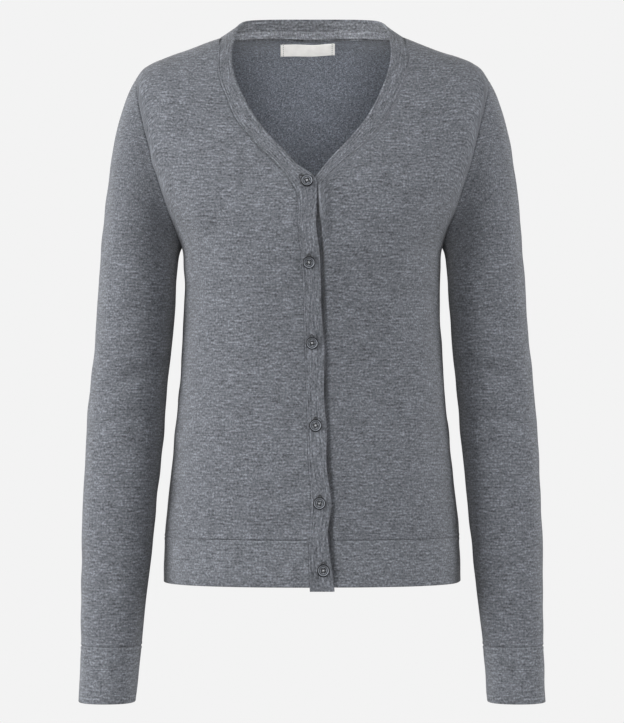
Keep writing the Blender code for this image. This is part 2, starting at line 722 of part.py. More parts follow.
def placket(side, materials):
    """The straight run of one band, from below the hem round the neckline's corner."""
    seam, edge = closure(side)
    span = np.linspace(0, 1, BAND_COLUMNS + 1)
    flat = seam[:, None] + (edge - seam)[:, None] * span[:, None]
    bow = edge_bow(seam[:, 2:]) * span if side < 0 else 0
    points, _ = torso(flat[..., 0], flat[..., 2], False, side, bow)
    neck, neck_normals = neck_side(side)
    points = np.concatenate([points, neck[: SPLIT + 1]])
    normals = grid_normals(points, np.array([0, -1.0, 0]))
    _, normals[:, 0] = torso(points[:, 0, 0], points[:, 0, 2], False, side)
    normals[-SPLIT - 1 :, 0] = neck_normals[: SPLIT + 1, 0]
    normals[-1] = neck_normals[SPLIT]
    points = drawn_in(points, normals, 0, HALF, HALF)
    name = "buttonhole_band" if side < 0 else "button_band"
    return solid(name, points, normals, BAND_WALL, materials[TRIM])


def button_mesh():
    """A four-hole button with a raised rim, its back in the plane z = 0."""
    sides = bmesh.new()
    heights = BUTTON_RINGS["height"]
    rings = [circle(sides, (0, 0), *ring, BUTTON_SIDES) for ring in zip(BUTTON_RINGS["radius"], heights)]
    for low, high in zip(rings, rings[1:]):
        wall(sides, low, high)
    floor, backs = [rings[-1]], [rings[0]]
    for i in range(4):
        angle = math.pi / 4 + i * math.pi / 2
        spot = (BUTTON_HOLE_OFFSET * math.cos(angle), BUTTON_HOLE_OFFSET * math.sin(angle))
        low = circle(sides, spot, BUTTON_HOLE_RADIUS, 0, HOLE_SIDES)
        high = circle(sides, spot, BUTTON_HOLE_RADIUS, heights[-1], HOLE_SIDES)
        wall(sides, low, high)
        floor.append(high)
        backs.append(low)
    for loops in (floor, backs):
        edges = [edge for loop in loops for edge in edges_of(sides, loop)]
        bmesh.ops.triangle_fill(sides, use_beauty=True, use_dissolve=False, edges=edges)
    bmesh.ops.recalc_face_normals(sides, faces=sides.faces)
    mesh = bpy.data.meshes.new("button")
    sides.to_mesh(mesh)
    sides.free()
    mesh.shade_smooth()
    mesh.set_sharp_from_angle(angle=math.radians(50))
    return mesh


def circle(mesh, centre, radius, height, count):
    turns = [2 * math.pi * i / count for i in range(count)]
    return [
        mesh.verts.new((centre[0] + radius * math.cos(t), centre[1] + radius * math.sin(t), height))
        for t in turns
    ]


def wall(mesh, low, high):
    for i, corner in enumerate(low):
        after = (i + 1) % len(low)
        mesh.faces.new((corner, low[after], high[after], high[i]))


def edges_of(mesh, loop):
    return [mesh.edges.get((a, loop[(i + 1) % len(loop)])) for i, a in enumerate(loop)]


def buttons(materials):
    """Six buttons, each resting on the upper band and turned to face straight out of it."""
    mesh = button_mesh()
    for i, (x, z) in enumerate(zip(BUTTONS["x"], BUTTONS["z"])):
        point, normal = torso(np.array([x]), np.array([z]), False, -1)
        out = Vector(normal[0])
        across = Vector((1, 0, 0)).cross(out).normalized()
        turn = Matrix((across.cross(out), across, out)).transposed()
        obj = place(f"button_{i + 1}", mesh, materials[RESIN])
        rest = Vector(point[0]) + out * BUTTON_REST
        obj.matrix_world = Matrix.Translation(rest) @ turn.to_4x4()


def make_materials():
    made = {}
    for look in (KNIT, TRIM, RESIN, WOVEN):
        name, colour, roughness = look
        material = bpy.data.materials.new(name)
        material.use_nodes = True
        shader = material.node_tree.nodes["Principled BSDF"]
        shader.inputs["Base Color"].default_value = colour
        shader.inputs["Roughness"].default_value = roughness
        material.diffuse_color = colour
        made[look] = material
    return made


def main():
    for obj in list(bpy.data.objects):
        bpy.data.objects.remove(obj)
    materials = make_materials()
    for side in (-1, 1):
        front_panel(side, materials)
        sleeve_and_cuff(side, materials)
        placket(side, materials)
    back_and_label(materials)
    hem_bands(materials)
    neckband(materials)
    buttons(materials)


main()
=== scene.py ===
"""Looks of a fine-gauge V-neck button cardigan in its worn form: knit cloth, seams, buttons and studio.

Every cloth piece is a thin closed shell on the form of its solid, cut along the same seam lines, with the
creases, sewn grooves and knit that the solids leave out. Metres, +Z up, the front faces -Y.
"""

import math

import bmesh
import bpy
import numpy as np
from mathutils import Matrix, Vector

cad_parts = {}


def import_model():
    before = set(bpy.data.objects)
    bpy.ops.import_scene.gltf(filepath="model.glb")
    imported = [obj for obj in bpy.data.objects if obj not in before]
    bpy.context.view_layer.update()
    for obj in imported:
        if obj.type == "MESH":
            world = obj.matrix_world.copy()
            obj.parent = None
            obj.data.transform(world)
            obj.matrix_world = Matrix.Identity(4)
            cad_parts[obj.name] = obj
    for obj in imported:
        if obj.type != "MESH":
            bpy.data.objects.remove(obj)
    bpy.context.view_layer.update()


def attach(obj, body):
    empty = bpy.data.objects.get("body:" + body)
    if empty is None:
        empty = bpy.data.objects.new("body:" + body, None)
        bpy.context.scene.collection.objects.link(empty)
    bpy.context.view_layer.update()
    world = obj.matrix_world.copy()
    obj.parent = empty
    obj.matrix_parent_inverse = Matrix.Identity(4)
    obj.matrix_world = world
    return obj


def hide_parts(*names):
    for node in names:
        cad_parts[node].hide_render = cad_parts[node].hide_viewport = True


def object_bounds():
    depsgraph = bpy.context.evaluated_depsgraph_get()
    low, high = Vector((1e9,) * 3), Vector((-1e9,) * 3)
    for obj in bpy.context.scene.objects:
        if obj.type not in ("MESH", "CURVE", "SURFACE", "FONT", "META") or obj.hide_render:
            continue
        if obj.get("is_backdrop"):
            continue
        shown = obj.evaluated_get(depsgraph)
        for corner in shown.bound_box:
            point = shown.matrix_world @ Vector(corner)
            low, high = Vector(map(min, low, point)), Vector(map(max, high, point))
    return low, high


# Walls
PANEL_WALL = 0.0014
FOLD_WALL = 0.0020
BAND_WALL = 0.0022
LABEL_WALL = 0.0006
LINING_GAP = 0.0008
OVERLAP = 0.0002  # pieces run this far into each other at the bottom of a sewn groove
LAP = 0.0015
LAP_REACH = 0.065

# Lengths from the high point of the shoulder down
UNDERARM_Z = -0.2165
HEM_SEAM_Z = -0.5130
HEM_Z = -0.5600
PLACKET_Z = -0.5640
CUFF_SEAM_Z = -0.6230
CUFF_Z = -0.6800

# Shoulders and neck
SIDE_Y = 0.005
NECK_X = 0.0940
SHOULDER_X = 0.1817
SHOULDER_Z = -0.0433
BACK_NECK_Z = 0.0005
ROUND = 2.4  # power of the torso's rounded section
SLEEVE_ROUND = 2.25  # and of a sleeve's
CAP_FRONT = 0.090  # how far below its ridge the shoulder's rounding reaches
CAP_BACK = 0.110
ARMHOLE_X = 0.16
RISE_Z = -0.205  # from here up the neckline's strip leaves the torso's form
RISE_REACH = 0.040

# Buttons
BUTTON_RADIUS = 0.00635
BUTTON_HOLE_RADIUS = 0.00075
BUTTON_HOLE_OFFSET = 0.0019
BUTTON_REST = 0.0006
BUTTON_SIDES = 72
HOLE_SIDES = 20
SHARP = 40  # degrees from which the button's edges are sharp
BOW = 0.0024
BUTTONHOLE_HALF = 0.0070
BUTTONHOLE_WIDTH = 0.0030
THREAD = 0.00022
THREAD_REACH = 0.66  # of the way from a button's middle to a hole's
THREAD_RISES = (0.00075, 0.00045)  # of each crossing thread over the button's floor
THREAD_DIP = 0.0016  # how far it goes down a hole
THREAD_PAST = 0.12  # share of its run that the thread's path goes on for at both ends
THREAD_POINTS = 15
SPINS = (17, -9, 6, 24, -14, 3)  # how far each button is turned, in degrees
LEANS = (52, 0, 3, 0, -3, 0)  # how far each buttonhole leans from upright
RISES = (0.0030, 0.0017, 0.0016, 0.0015, 0.0016, 0.0014)  # its middle above its button's
TUBE_SIDES = 8
SKEW = (0.13, 0.19, 0.97)  # a direction that no thread runs in
EDGING_STEPS = 160
EDGING_RADIUS = 0.00050
EDGING_POINT = 1.5  # power that draws the ring to a point at its ends
EDGING_HEIGHTS = (0.00025, 0.00065, 0.00012)  # under the button, added beyond it, and of each stitch
EDGING_CLIMB = (0.0045, 0.0015)  # how far from its middle the ring begins to climb, and over what length

# How a sleeve leaves its armhole
HEADING_ENDS = 0.58
HEADING_MIDDLE = 0.34
HEADING_PULL = 0.60
HANG_SLOPE = 0.06
HANG_PULL = 0.90

# Spacing of the cloth's grids: close together along every seam
SEAM_STEPS = np.array([0, 0.0004, 0.0008, 0.0012, 0.0017, 0.0023, 0.0031, 0.0042, 0.0058])
PANEL_STEP = 0.0024
STRIP_STEPS = (0.0020, 0.0007)  # along the strip and across it
SLEEVE_GIRTH = 0.300  # lengths that grids are spaced for
CUFF_GIRTH = 0.200
CAP_LENGTH = 0.220
HEM_LENGTHS = {-1: 0.150, 0: 0.400, 1: 0.132}
ARMHOLE_POINTS = 481  # of the lines that pieces are sewn along
SEAM_POINTS = 160
SHOULDER_POINTS = 60
SHARED_REACH = 0.005  # how far from a seam a piece's normals turn to those that it shares there
CREASE_REACH = 0.02  # and how far from the armhole a sleeve has no creases yet
NET_ROWS = [36, 24]  # rows of a panel's coarse net below the underarm and above it
FRONT_NET = [16]
BACK_NET = [12, 16, 12]  # across the back: shoulder, neck, shoulder
NET_ROUNDS = 500
GIRTH_RADIUS = 0.13  # by which a net is unrolled round the body
ROLL = 0.090  # and over the shoulder
ROLL_ROUNDS = 16
SLOPE_STEP = 1e-5  # for the slopes of the torso's form
WELD = 1e-6  # points this near each other are one
EDGE_ROUND = 7  # rows round a folded edge

LABEL_X = (-0.0333, 0.0242)
LABEL_TILT = 0.022
LABEL_Z = (-0.0106, 0.0006)
LABEL_POINTS = (120, 36)  # across and up
LABEL_OUT = 0.0003  # between the label and the back
LABEL_EVEN = 0.012  # the label lies on the back's form averaged over this far each way
EVEN_STEPS = 9
LABEL_BULGE = 0.0004
LABEL_RIPPLES = ((0.0003, 160, 1.1),)  # each a height, a rate and a turn
FRAY = ((0.0005, 2600, 0.7), (0.0004, 4700, 0.0))
FRAY_REACH = 0.0016
STITCH_AWAY = 0.0027  # from the label's ends to the stitches that hold it
STITCH_RADIUS = 0.00022
STITCH_ROWS = 4  # of the label's grid, that a stitch is long, and from one stitch to the next
STITCH_EVERY = 6
STITCH_LIFT = 0.0002
STITCH_PULL = (0.0005, 0.0005)  # depth and width of the dent they make
TAPE_SPAN = (0.067, 0.433)  # share of the neckband's width that the tape covers inside
TAPE_HALF = 0.1030
TAPE_STEP = 0.00035
TAPE_COLUMNS = 9
TAPE_WALL = 0.0010
TAPE_OUT = 0.0006
TAPE_RIB = 0.0021  # from one upright stitch to the next
TAPE_RELIEF = 0.00060
TAPE_RIPPLES = ((0.00012, 410, 1.3),)

# Depth and width of the sewn grooves
SEAM_GROOVE = (0.0006, 0.0006)
FOLD_GROOVE = (0.0010, 0.0005)  # where a doubled band is linked on
STRIP_GROOVE = (0.00025, 0.0007)
TUBE_GROOVE = (0.0004, 0.0007)
# Beside a groove the cloth rises: share of the groove's depth, place and width
BESIDE_GROOVE = (0.35, 0.0023, 0.0012)
# Ridges along the strip: height, distance from the seam, and width
STRIP_RIDGES = (
    (0.00042, 0.0014, 0.0006),
    (-0.00030, 0.0024, 0.0005),
    (0.00018, 0.0034, 0.0006),
)
FOLD_RIDGE = (0.00030, 0.0009, 0.0007)  # the same from its folded edge
STRIP_CROWN = (0.00025, 0.004)  # height away from the seam, and where it begins

# The under band and its front sink beside the upper band's free edge
GAP_AWAY = 0.0008
SWELL = 0.40  # and rise again further away, as a share of that depth
SWELL_AWAY = 0.0066
SWELL_WIDTH = 0.0030

# Knit
WALE = 0.0015
COURSE = 0.0011
TINT = (0.172, 0.182, 0.204)
TRIM_TINT = (0.186, 0.197, 0.220)
REVERSE_TINT = (0.176, 0.191, 0.222)
# Lighter than the knit: painted light on the strip's inner face, where little light reaches inside the
# neck. The tape inside the back, paler of its own, uses it too.
LINING_PAINTED_LIGHT_TINT = (0.235, 0.245, 0.268)
# The mix of fibres to shares of the tint, on the face and on the reverse
SPREAD = ((0.38, 0.42), (0.46, 0.80), (0.53, 1.10), (0.63, 1.95))
REVERSE_SPREAD = ((0.38, 0.46), (0.46, 0.82), (0.53, 1.10), (0.63, 1.85))
# Weight of each grain of fibres, and how many fit a metre along the courses and across them
JERSEY_GRAINS = ((0.45, 470, 460), (0.35, 100, 540), (0.11, 900, 1500), (0.09, 34, 60))
BAND_GRAINS = ((0.48, 400, 520), (0.34, 60, 520), (0.10, 900, 1500), (0.08, 34, 60))
REVERSE_GRAINS = ((0.55, 640, 600), (0.22, 280, 250), (0.13, 1500, 1500), (0.10, 34, 60))
ROUGH = 0.55  # of the noise in grains and resin
# Height and strength of the bumps of stitches and of fibres
STITCH_BUMP = (0.00022, 0.55)
FIBRE_BUMP = (0.00060, 0.35)

# Share of TONE_REACH from a button's middle or from a hole's, and the resin's brightness there. The dark
# sunk ring is painted shade, the dark outer edge is painted shadow where the button sits on the band, and
# the dark round each hole is painted shade
TONE_REACH = 0.0070
RESIN_TINT = (0.92, 0.98, 1.10)
BUTTON_TONES_AND_SHADE = (
    (0.0, 0.210),
    (0.53, 0.205),
    # painted shade in the sunk ring
    (0.57, 0.060),
    (0.64, 0.060),
    (0.685, 0.290),
    (0.765, 0.260),
    # painted shadow round the outer edge
    (0.805, 0.015),
)
# painted shade in and round each hole
HOLE_SHADE_TONES = ((0.155, 0.02), (0.200, 1.0))
RESIN_CLOUDS = (240.0, 240.0, 500.0)
CLOUDINESS = 0.04
RESIN_GRAIN = (1500.0, 1500.0, 1500.0)
RESIN_BUMP = (0.00004, 0.25)

# Sewing thread and the label's weave
PLY = (5200.0, 5200.0, 2400.0)
PLY_DARK = (1, 1.03, 1.10)
PLY_PALE = (1, 1.02, 1.06)
PLY_BUMP = (0.00008, 0.6)
LABEL_TONES = ((0.30, (0.80, 0.785, 0.76)), (0.70, (0.90, 0.885, 0.86)))
LABEL_GRAIN = (90.0, 160.0, 1.0)
LABEL_BUMP = (0.00010, 0.5)
WARP = 0.00055
WEFT = 0.00040

# Camera
VIEW_DISTANCE = 3.5
VIEW_Z = -0.3335
VIEW_HEIGHT = 0.7454  # metres across the frame's long side at the garment's middle
SENSOR = 36.0
PALE = 0.896  # brightness of backdrop and floor
FLOOR_Z = -2.40  # so low that a camera a little below the garment still sees it
FLOOR_REACH = 12.0
AIM = (0, 0, -0.30)  # what the lamps look at

# Light: all round, then name, place, size and power of each lamp
AMBIENT = 0.10
LAMPS = (
    ("light_left", (-2.6, -0.9, 0.3), 1.6, 85.0),
    ("light_right", (2.6, -0.9, 0.3), 1.6, 49.0),
    ("light_front", (0.0, -3.6, 0.6), 2.4, 60.0),
    ("light_back_left", (-2.2, 2.8, 0.6), 1.6, 60.0),
    ("light_back_right", (2.4, 2.6, 0.2), 1.6, 40.0),
)
# These reach only some pieces: what shows through the neck, and the label
LINKED_LAMPS = (
    (("light_neck", (0.0, -3.6, -0.6), 2.4, 88.0), ("knit_back", "knit_neck_tape", "label_blank")),
    (("light_label", (0.0, -3.6, 0.0), 2.4, 48.0), ("label_blank", "thread_label")),
)


TURN = 2 * math.pi
WORD = {-1: "right", 0: "back", 1: "left"}  # the wearer's sides


def table(names, *rows):
    """Named columns of a small table."""
    return dict(zip(names.split(), np.array(rows, float).T))


TORSO = table(
    "z half_width front back",
    (-0.564, 0.1532, 0.107, 0.112),
    (-0.513, 0.1517, 0.106, 0.110),
    (-0.450, 0.1453, 0.104, 0.103),
    (-0.390, 0.1394, 0.101, 0.094),
    (-0.332, 0.1346, 0.102, 0.090),
    (-0.275, 0.1316, 0.109, 0.093),
    (-0.240, 0.1322, 0.115, 0.097),
    (UNDERARM_Z, 0.1345, 0.119, 0.100),
    (-0.212, 0.1362, 0.119, 0.101),
    (-0.200, 0.1423, 0.119, 0.102),
    (-0.180, 0.1530, 0.118, 0.104),
    (-0.156, 0.1645, 0.113, 0.106),
    (-0.130, 0.1780, 0.104, 0.106),
    (-0.100, 0.1910, 0.091, 0.104),
    (-0.050, 0.2050, 0.070, 0.098),
    (0.000, 0.2150, 0.054, 0.090),
    (0.040, 0.2200, 0.045, 0.080),
)
SHOULDER = table(
    "x z",
    (0.000, 0.0200),
    (0.050, 0.0125),
    (NECK_X, BACK_NECK_Z),
    (0.128, -0.0125),
    (0.153, -0.0207),
    (0.166, -0.0268),
    (0.1765, -0.0350),
    (SHOULDER_X, SHOULDER_Z),
    (0.190, -0.0600),
)
ARMHOLE = table(
    "z x",
    (-0.160, 0.1550),
    (-0.130, 0.1625),
    (-0.100, 0.1698),
    (-0.070, 0.1772),
    (SHOULDER_Z, SHOULDER_X),
)
SLEEVE = table(
    "z out half_width y half_depth",
    (-0.260, 0.1801, 0.0400, 0.004, 0.0520),
    (-0.310, 0.1840, 0.0397, 0.006, 0.0490),
    (-0.373, 0.1902, 0.0397, 0.004, 0.0455),
    (-0.435, 0.1946, 0.0392, -0.0035, 0.0425),
    (-0.497, 0.1987, 0.0370, -0.013, 0.0390),
    (-0.559, 0.2021, 0.0344, -0.022, 0.0350),
    (-0.600, 0.2043, 0.0320, -0.029, 0.0332),
    (CUFF_SEAM_Z, 0.2052, 0.0306, -0.033, 0.0325),
    (CUFF_Z, 0.2087, 0.0292, -0.040, 0.0312),
)
# The strip from each lower end up its front and round the neckline's corner to the shoulder. The part that
# runs straight down is measured like the rest: outwards from the middle on its own side.
STRIP_RIGHT = table(
    "seam seam_z edge edge_z",
    (0.0020, PLACKET_Z, -0.0224, PLACKET_Z),
    (0.0030, -0.531, -0.0180, -0.531),
    (0.0026, -0.507, -0.0155, -0.507),
    (0.0006, -0.478, -0.0187, -0.478),
    (0.0035, -0.438, -0.0142, -0.438),
    (0.0048, -0.400, -0.0143, -0.400),
    (0.0056, -0.372, -0.0118, -0.372),
    (0.0073, -0.318, -0.0120, -0.318),
    (0.0083, -0.285, -0.0092, -0.285),
    (0.0090, -0.250, -0.0085, -0.250),
    (0.0108, -0.228, -0.0078, -0.228),
    (0.0138, -0.205, -0.0042, -0.200),
    (0.0168, -0.1610, -0.0022, -0.1482),
    (0.0290, -0.1425, 0.0150, -0.1355),
    (0.0400, -0.1300, 0.0280, -0.1210),
    (0.0525, -0.1178, 0.0400, -0.1090),
    (0.0640, -0.1045, 0.0505, -0.0955),
    (0.0745, -0.0920, 0.0588, -0.0840),
    (0.0820, -0.0775, 0.0668, -0.0700),
    (0.0880, -0.0620, 0.0735, -0.0570),
    (0.0935, -0.0480, 0.0786, -0.0431),
    (0.0960, -0.0350, 0.0815, -0.0280),
    (0.0960, -0.0220, 0.0812, -0.0120),
    (0.0948, -0.0110, 0.0785, 0.0020),
    (NECK_X, BACK_NECK_Z, 0.0748, 0.0135),
)
STRIP_LEFT = table(
    "seam seam_z edge edge_z",
    (0.0226, PLACKET_Z, 0.0041, PLACKET_Z),
    (0.0222, -0.531, 0.0037, -0.531),
    (0.0198, -0.497, 0.0013, -0.497),
    (0.0168, -0.460, -0.0017, -0.460),
    (0.0145, -0.420, -0.0040, -0.420),
    (0.0130, -0.380, -0.0055, -0.380),
    (0.0122, -0.330, -0.0063, -0.330),
    (0.0102, -0.285, -0.0083, -0.285),
    (0.0092, -0.250, -0.0093, -0.250),
    (0.0104, -0.218, -0.0081, -0.218),
    (0.0123, -0.194, -0.0066, -0.194),
    (0.0098, -0.1570, -0.0072, -0.1585),
    (0.0180, -0.1450, 0.0045, -0.1450),
    (0.0300, -0.1335, 0.0185, -0.1295),
    (0.0430, -0.1222, 0.0330, -0.1140),
    (0.0560, -0.1100, 0.0455, -0.1000),
    (0.0680, -0.0970, 0.0555, -0.0860),
    (0.0770, -0.0830, 0.0635, -0.0725),
    (0.0845, -0.0669, 0.0700, -0.0585),
    (0.0912, -0.0520, 0.0755, -0.0440),
    (0.0966, -0.0385, 0.0794, -0.0280),
    (0.0980, -0.0220, 0.0806, -0.0120),
    (0.0962, -0.0110, 0.0785, 0.0020),
    (NECK_X, BACK_NECK_Z, 0.0748, 0.0135),
)
NECK_BACK = table(
    "seam seam_z edge edge_y edge_z",
    (0.0000, 0.0036, 0.0000, 0.0500, 0.0245),
    (0.0300, 0.0034, 0.0280, 0.0480, 0.0242),
    (0.0560, 0.0027, 0.0505, 0.0410, 0.0232),
    (0.0780, 0.0015, 0.0665, 0.0275, 0.0210),
    (NECK_X, BACK_NECK_Z, 0.0748, 0.0030, 0.0135),
)
CORNER = {-1: 12, 1: 11}  # each strip's row at the neckline's corner
BUTTONS = table(
    "x z",
    (-0.0050, -0.1535),
    (-0.0030, -0.2339),
    (0.0001, -0.3147),
    (0.0035, -0.3977),
    (0.0074, -0.4756),
    (0.0113, -0.5428),
)
# How deep and how wide the lower front sinks beside the free edge, at the buttons and between them
GAPS = table(
    "z depth width",
    (PLACKET_Z, 0.0020, 0.0008),
    (-0.5428, 0.0022, 0.0009),
    (-0.510, 0.0070, 0.0015),
    (-0.4756, 0.0025, 0.0009),
    (-0.437, 0.0060, 0.0011),
    (-0.3977, 0.0025, 0.0008),
    (-0.356, 0.0050, 0.0009),
    (-0.3147, 0.0025, 0.0008),
    (-0.274, 0.0060, 0.0010),
    (-0.2339, 0.0062, 0.0012),
    (-0.195, 0.0080, 0.0016),
    (-0.165, 0.0080, 0.0015),
    (-0.1535, 0.0070, 0.0013),
    (-0.148, 0.0045, 0.0012),
    (-0.141, 0.0000, 0.0012),
)
# A button from the rim of its back, round its raised rim and down to the dished floor with the holes
BUTTON_RINGS = table(
    "radius height",
    (0.0050, 0.0000),
    (0.0057, 0.0002),
    (0.0061, 0.0006),
    (0.0063, 0.0010),
    (BUTTON_RADIUS, 0.0014),
    (0.0063, 0.0018),
    (0.0061, 0.0022),
    (0.0058, 0.0025),
    (0.0055, 0.0026),
    (0.0052, 0.0025),
    (0.0049, 0.0022),
    (0.0047, 0.0018),
    (0.0045, 0.0016),
    (0.0042, 0.0016),
    (0.0039, 0.0018),
    (0.0034, 0.0018),
    (0.0030, 0.0017),
)
# Soft creases: face is -1 on front faces and 1 on back faces, slope is in degrees from level
FOLDS = table(
    "face x z slope length width depth",
    (-1, 0.048, -0.440, 82, 0.110, 0.016, -0.0022),
    (-1, -0.185, -0.350, 22, 0.034, 0.008, -0.0024),
    (-1, -0.192, -0.388, -18, 0.030, 0.008, -0.0022),
    (-1, 0.186, -0.345, -24, 0.034, 0.008, -0.0026),
    (-1, 0.194, -0.392, 16, 0.030, 0.008, -0.0022),
    (1, 0.010, -0.338, 5, 0.090, 0.013, -0.0030),
    (1, -0.045, -0.378, -9, 0.075, 0.012, -0.0024),
    (1, -0.100, -0.262, 38, 0.045, 0.011, -0.0024),
    (1, 0.100, -0.262, -38, 0.045, 0.011, -0.0024),
    (1, 0.188, -0.365, 12, 0.034, 0.009, -0.0028),
    (1, -0.188, -0.365, -12, 0.034, 0.009, -0.0028),
    (-1, -0.088, -0.300, 76, 0.090, 0.018, -0.0012),
    (-1, 0.092, -0.262, -64, 0.060, 0.015, -0.0012),
    (-1, -0.128, -0.205, -50, 0.034, 0.007, -0.0012),
    (-1, 0.130, -0.205, 50, 0.034, 0.007, -0.0013),
    (-1, -0.115, -0.176, 82, 0.042, 0.013, 0.0026),
    (-1, -0.093, -0.185, 80, 0.040, 0.012, -0.0012),
    (-1, -0.060, -0.460, 86, 0.080, 0.015, 0.0010),
    (-1, 0.105, -0.430, 84, 0.090, 0.014, 0.0012),
    (1, -0.060, -0.180, 70, 0.070, 0.016, -0.0012),
    (1, 0.066, -0.170, -72, 0.070, 0.016, -0.0012),
    (1, 0.040, -0.440, 86, 0.090, 0.015, 0.0012),
    (-1, -0.186, -0.285, 30, 0.036, 0.010, -0.0012),
    (-1, 0.190, -0.290, -28, 0.036, 0.010, -0.0012),
    (-1, -0.205, -0.560, 20, 0.026, 0.009, -0.0010),
    (-1, 0.206, -0.550, -22, 0.026, 0.009, -0.0010),
)
# Slow unevenness of the cloth: waves that each run one way across and up
WAVES = table(
    "across up turn height",
    (95, 38, 0.4, 0.00022),
    (-62, 71, 1.9, 0.00020),
    (41, 142, 3.1, 0.00016),
    (128, -24, 4.4, 0.00014),
    (150, 95, 5.3, 0.00010),
    (-88, 188, 2.6, 0.00010),
)
WAVE_SLANT = 0.7  # share of a place's depth that counts as across


# Curves and vectors


def smooth(knots, values, at):
    """A cubic through rising knots, held level beyond both ends. Each value may be a row of numbers."""
    at = np.clip(at, knots[0], knots[-1])
    slope = np.gradient(values, knots, axis=0)
    i = np.clip(np.searchsorted(knots, at, side="right") - 1, 0, len(knots) - 2)
    shape = at.shape + (1,) * (values.ndim - 1)
    step = (knots[i + 1] - knots[i]).reshape(shape)
    t = (at - knots[i]).reshape(shape) / step
    start = values[i] * (1 + 2 * t) + slope[i] * step * t
    end = values[i + 1] * (3 - 2 * t) - slope[i + 1] * step * (1 - t)
    return start * (1 - t) ** 2 + end * t**2


def unit(vectors):
    return vectors / np.linalg.norm(vectors, axis=-1, keepdims=True)


def stack(x, y, z):
    return np.stack(np.broadcast_arrays(x, y, z), axis=-1).astype(float)


def ease(t):
    t = np.clip(t, 0, 1)
    return t * t * (3 - 2 * t)


def lengths(points, axis=0):
    """How far each point lies along its line from the line's first."""
    steps = np.linalg.norm(np.diff(points, axis=axis), axis=-1)
    return np.insert(np.cumsum(steps, axis=axis), 0, 0, axis=axis)


def spaced(length, step):
    """Shares from 0 to 1 along a length, close together at both ends."""
    far = SEAM_STEPS[-1]
    middle = np.linspace(far, length - far, max(1, round((length - 2 * far) / step)) + 1)
    return np.concatenate([SEAM_STEPS[:-1], middle, length - SEAM_STEPS[-2::-1]]) / length


def between(knots, values, at):
    """Rows of values read off at places between knots."""
    return np.stack([np.interp(at, knots, column) for column in values.T], axis=-1)


def read(line, shares):
    """A seam line's rows at shares of its length: points, then the normals that its pieces share."""
    far = lengths(line[:, :3])
    return between(far, line, shares * far[-1])


def as_line(points, normals=None):
    return np.hstack([points, np.zeros_like(points) if normals is None else normals])


# The torso's form


def ridge_at(x):
    return smooth(SHOULDER["x"], SHOULDER["z"], np.abs(x))


def half_width(z):
    return smooth(TORSO["z"], TORSO["half_width"], np.asarray(z, float))


def half_depth(z, back):
    return smooth(TORSO["z"], TORSO["back" if back else "front"], z)


def section(x, z, back):
    """What the torso's rounded section leaves for depth at (x, z), and the whole depth at that height."""
    depth = half_depth(z, back)
    across = (np.abs(x) / half_width(z)) ** ROUND
    ridge = ridge_at(x)
    crown = np.clip(1 - (np.abs(x) / half_width(ridge)) ** ROUND, 0, 1) ** (1 / ROUND)
    cap = CAP_BACK if back else CAP_FRONT
    rise = (np.maximum(0, z - ridge + cap * crown) / cap) ** ROUND
    return 1 - across - rise, depth


def torso_normal(points, back):
    """Outward normals of the torso's form, from its level function."""

    def level(p):
        left, depth = section(p[..., 0], p[..., 2], back)
        return (np.abs(p[..., 1] - SIDE_Y) / depth) ** ROUND - left

    shifts = SLOPE_STEP * np.eye(3)
    return unit(np.stack([level(points + s) - level(points - s) for s in shifts], axis=-1))


def crease(points, normals):
    """How far each point moves out along its normal for the creases near it and the cloth's unevenness."""
    moved = np.zeros(points.shape[:-1])
    for face, x, z, slope, length, width, depth in zip(*FOLDS.values()):
        turn = math.radians(slope)
        dx, dz = points[..., 0] - x, points[..., 2] - z
        along = (dx * math.cos(turn) + dz * math.sin(turn)) / length
        across = (dz * math.cos(turn) - dx * math.sin(turn)) / width
        moved += depth * ease(face * normals[..., 1] * 2) * np.exp(-(along**2) - across**2)
    around = points[..., 0] + WAVE_SLANT * points[..., 1]
    for across, up, turn, height in zip(*WAVES.values()):
        moved += height * np.sin(across * around + up * points[..., 2] + turn)
    return moved


def lap(x, z, side):
    """Lift of a front near the closure: the wearer's right lies over the left."""
    if side == 0:
        return 0
    low = np.minimum(z, STRIP_RIGHT["seam_z"][CORNER[-1]])
    rows = slice(0, CORNER[1] + 1)
    strip = (STRIP_LEFT["seam"] + STRIP_LEFT["edge"])[rows] / 2
    away = np.hypot(x - smooth(STRIP_LEFT["seam_z"][rows], strip, low), z - low)
    return -side * LAP * (1 - ease(away / LAP_REACH)) - (gap(x, z) if side > 0 else 0)


def gap(x, z):
    """How far the lower front sinks beside the upper band's free edge: least at each button."""
    rows = slice(0, CORNER[-1] + 1)
    edge = -smooth(STRIP_RIGHT["edge_z"][rows], STRIP_RIGHT["edge"][rows], z)
    depth, width = (smooth(GAPS["z"], GAPS[name], z) for name in ("depth", "width"))
    away = x - edge
    return depth * (near(away - width - GAP_AWAY, width) - SWELL * near(away - SWELL_AWAY, SWELL_WIDTH))


def torso(x, z, side=0, bow=0):
    """Points on the torso's outer face and their normals. side is -1 on the right front, 1 on the left and
    0 on the back."""
    back = side == 0
    left, depth = section(x, z, back)
    deep = depth * np.clip(left, 0, 1) ** (1 / ROUND)
    points = stack(x, SIDE_Y + (deep if back else -deep), z)
    normals = torso_normal(points, back)
    lift = lap(x, z, side) + crease(points, normals) + bow
    return points + normals * lift[..., None], normals


def turned(normals, outward):
    """Normals, all reversed if most of them point away from outward."""
    return -normals if np.sum(normals * outward) < 0 else normals


def grid_normals(points, outward):
    """Normals of a grid of points on the side that outward points to."""
    across = np.gradient(points, axis=1)
    return turned(unit(np.cross(across, np.gradient(points, axis=0))), outward)


# Seams that pieces share


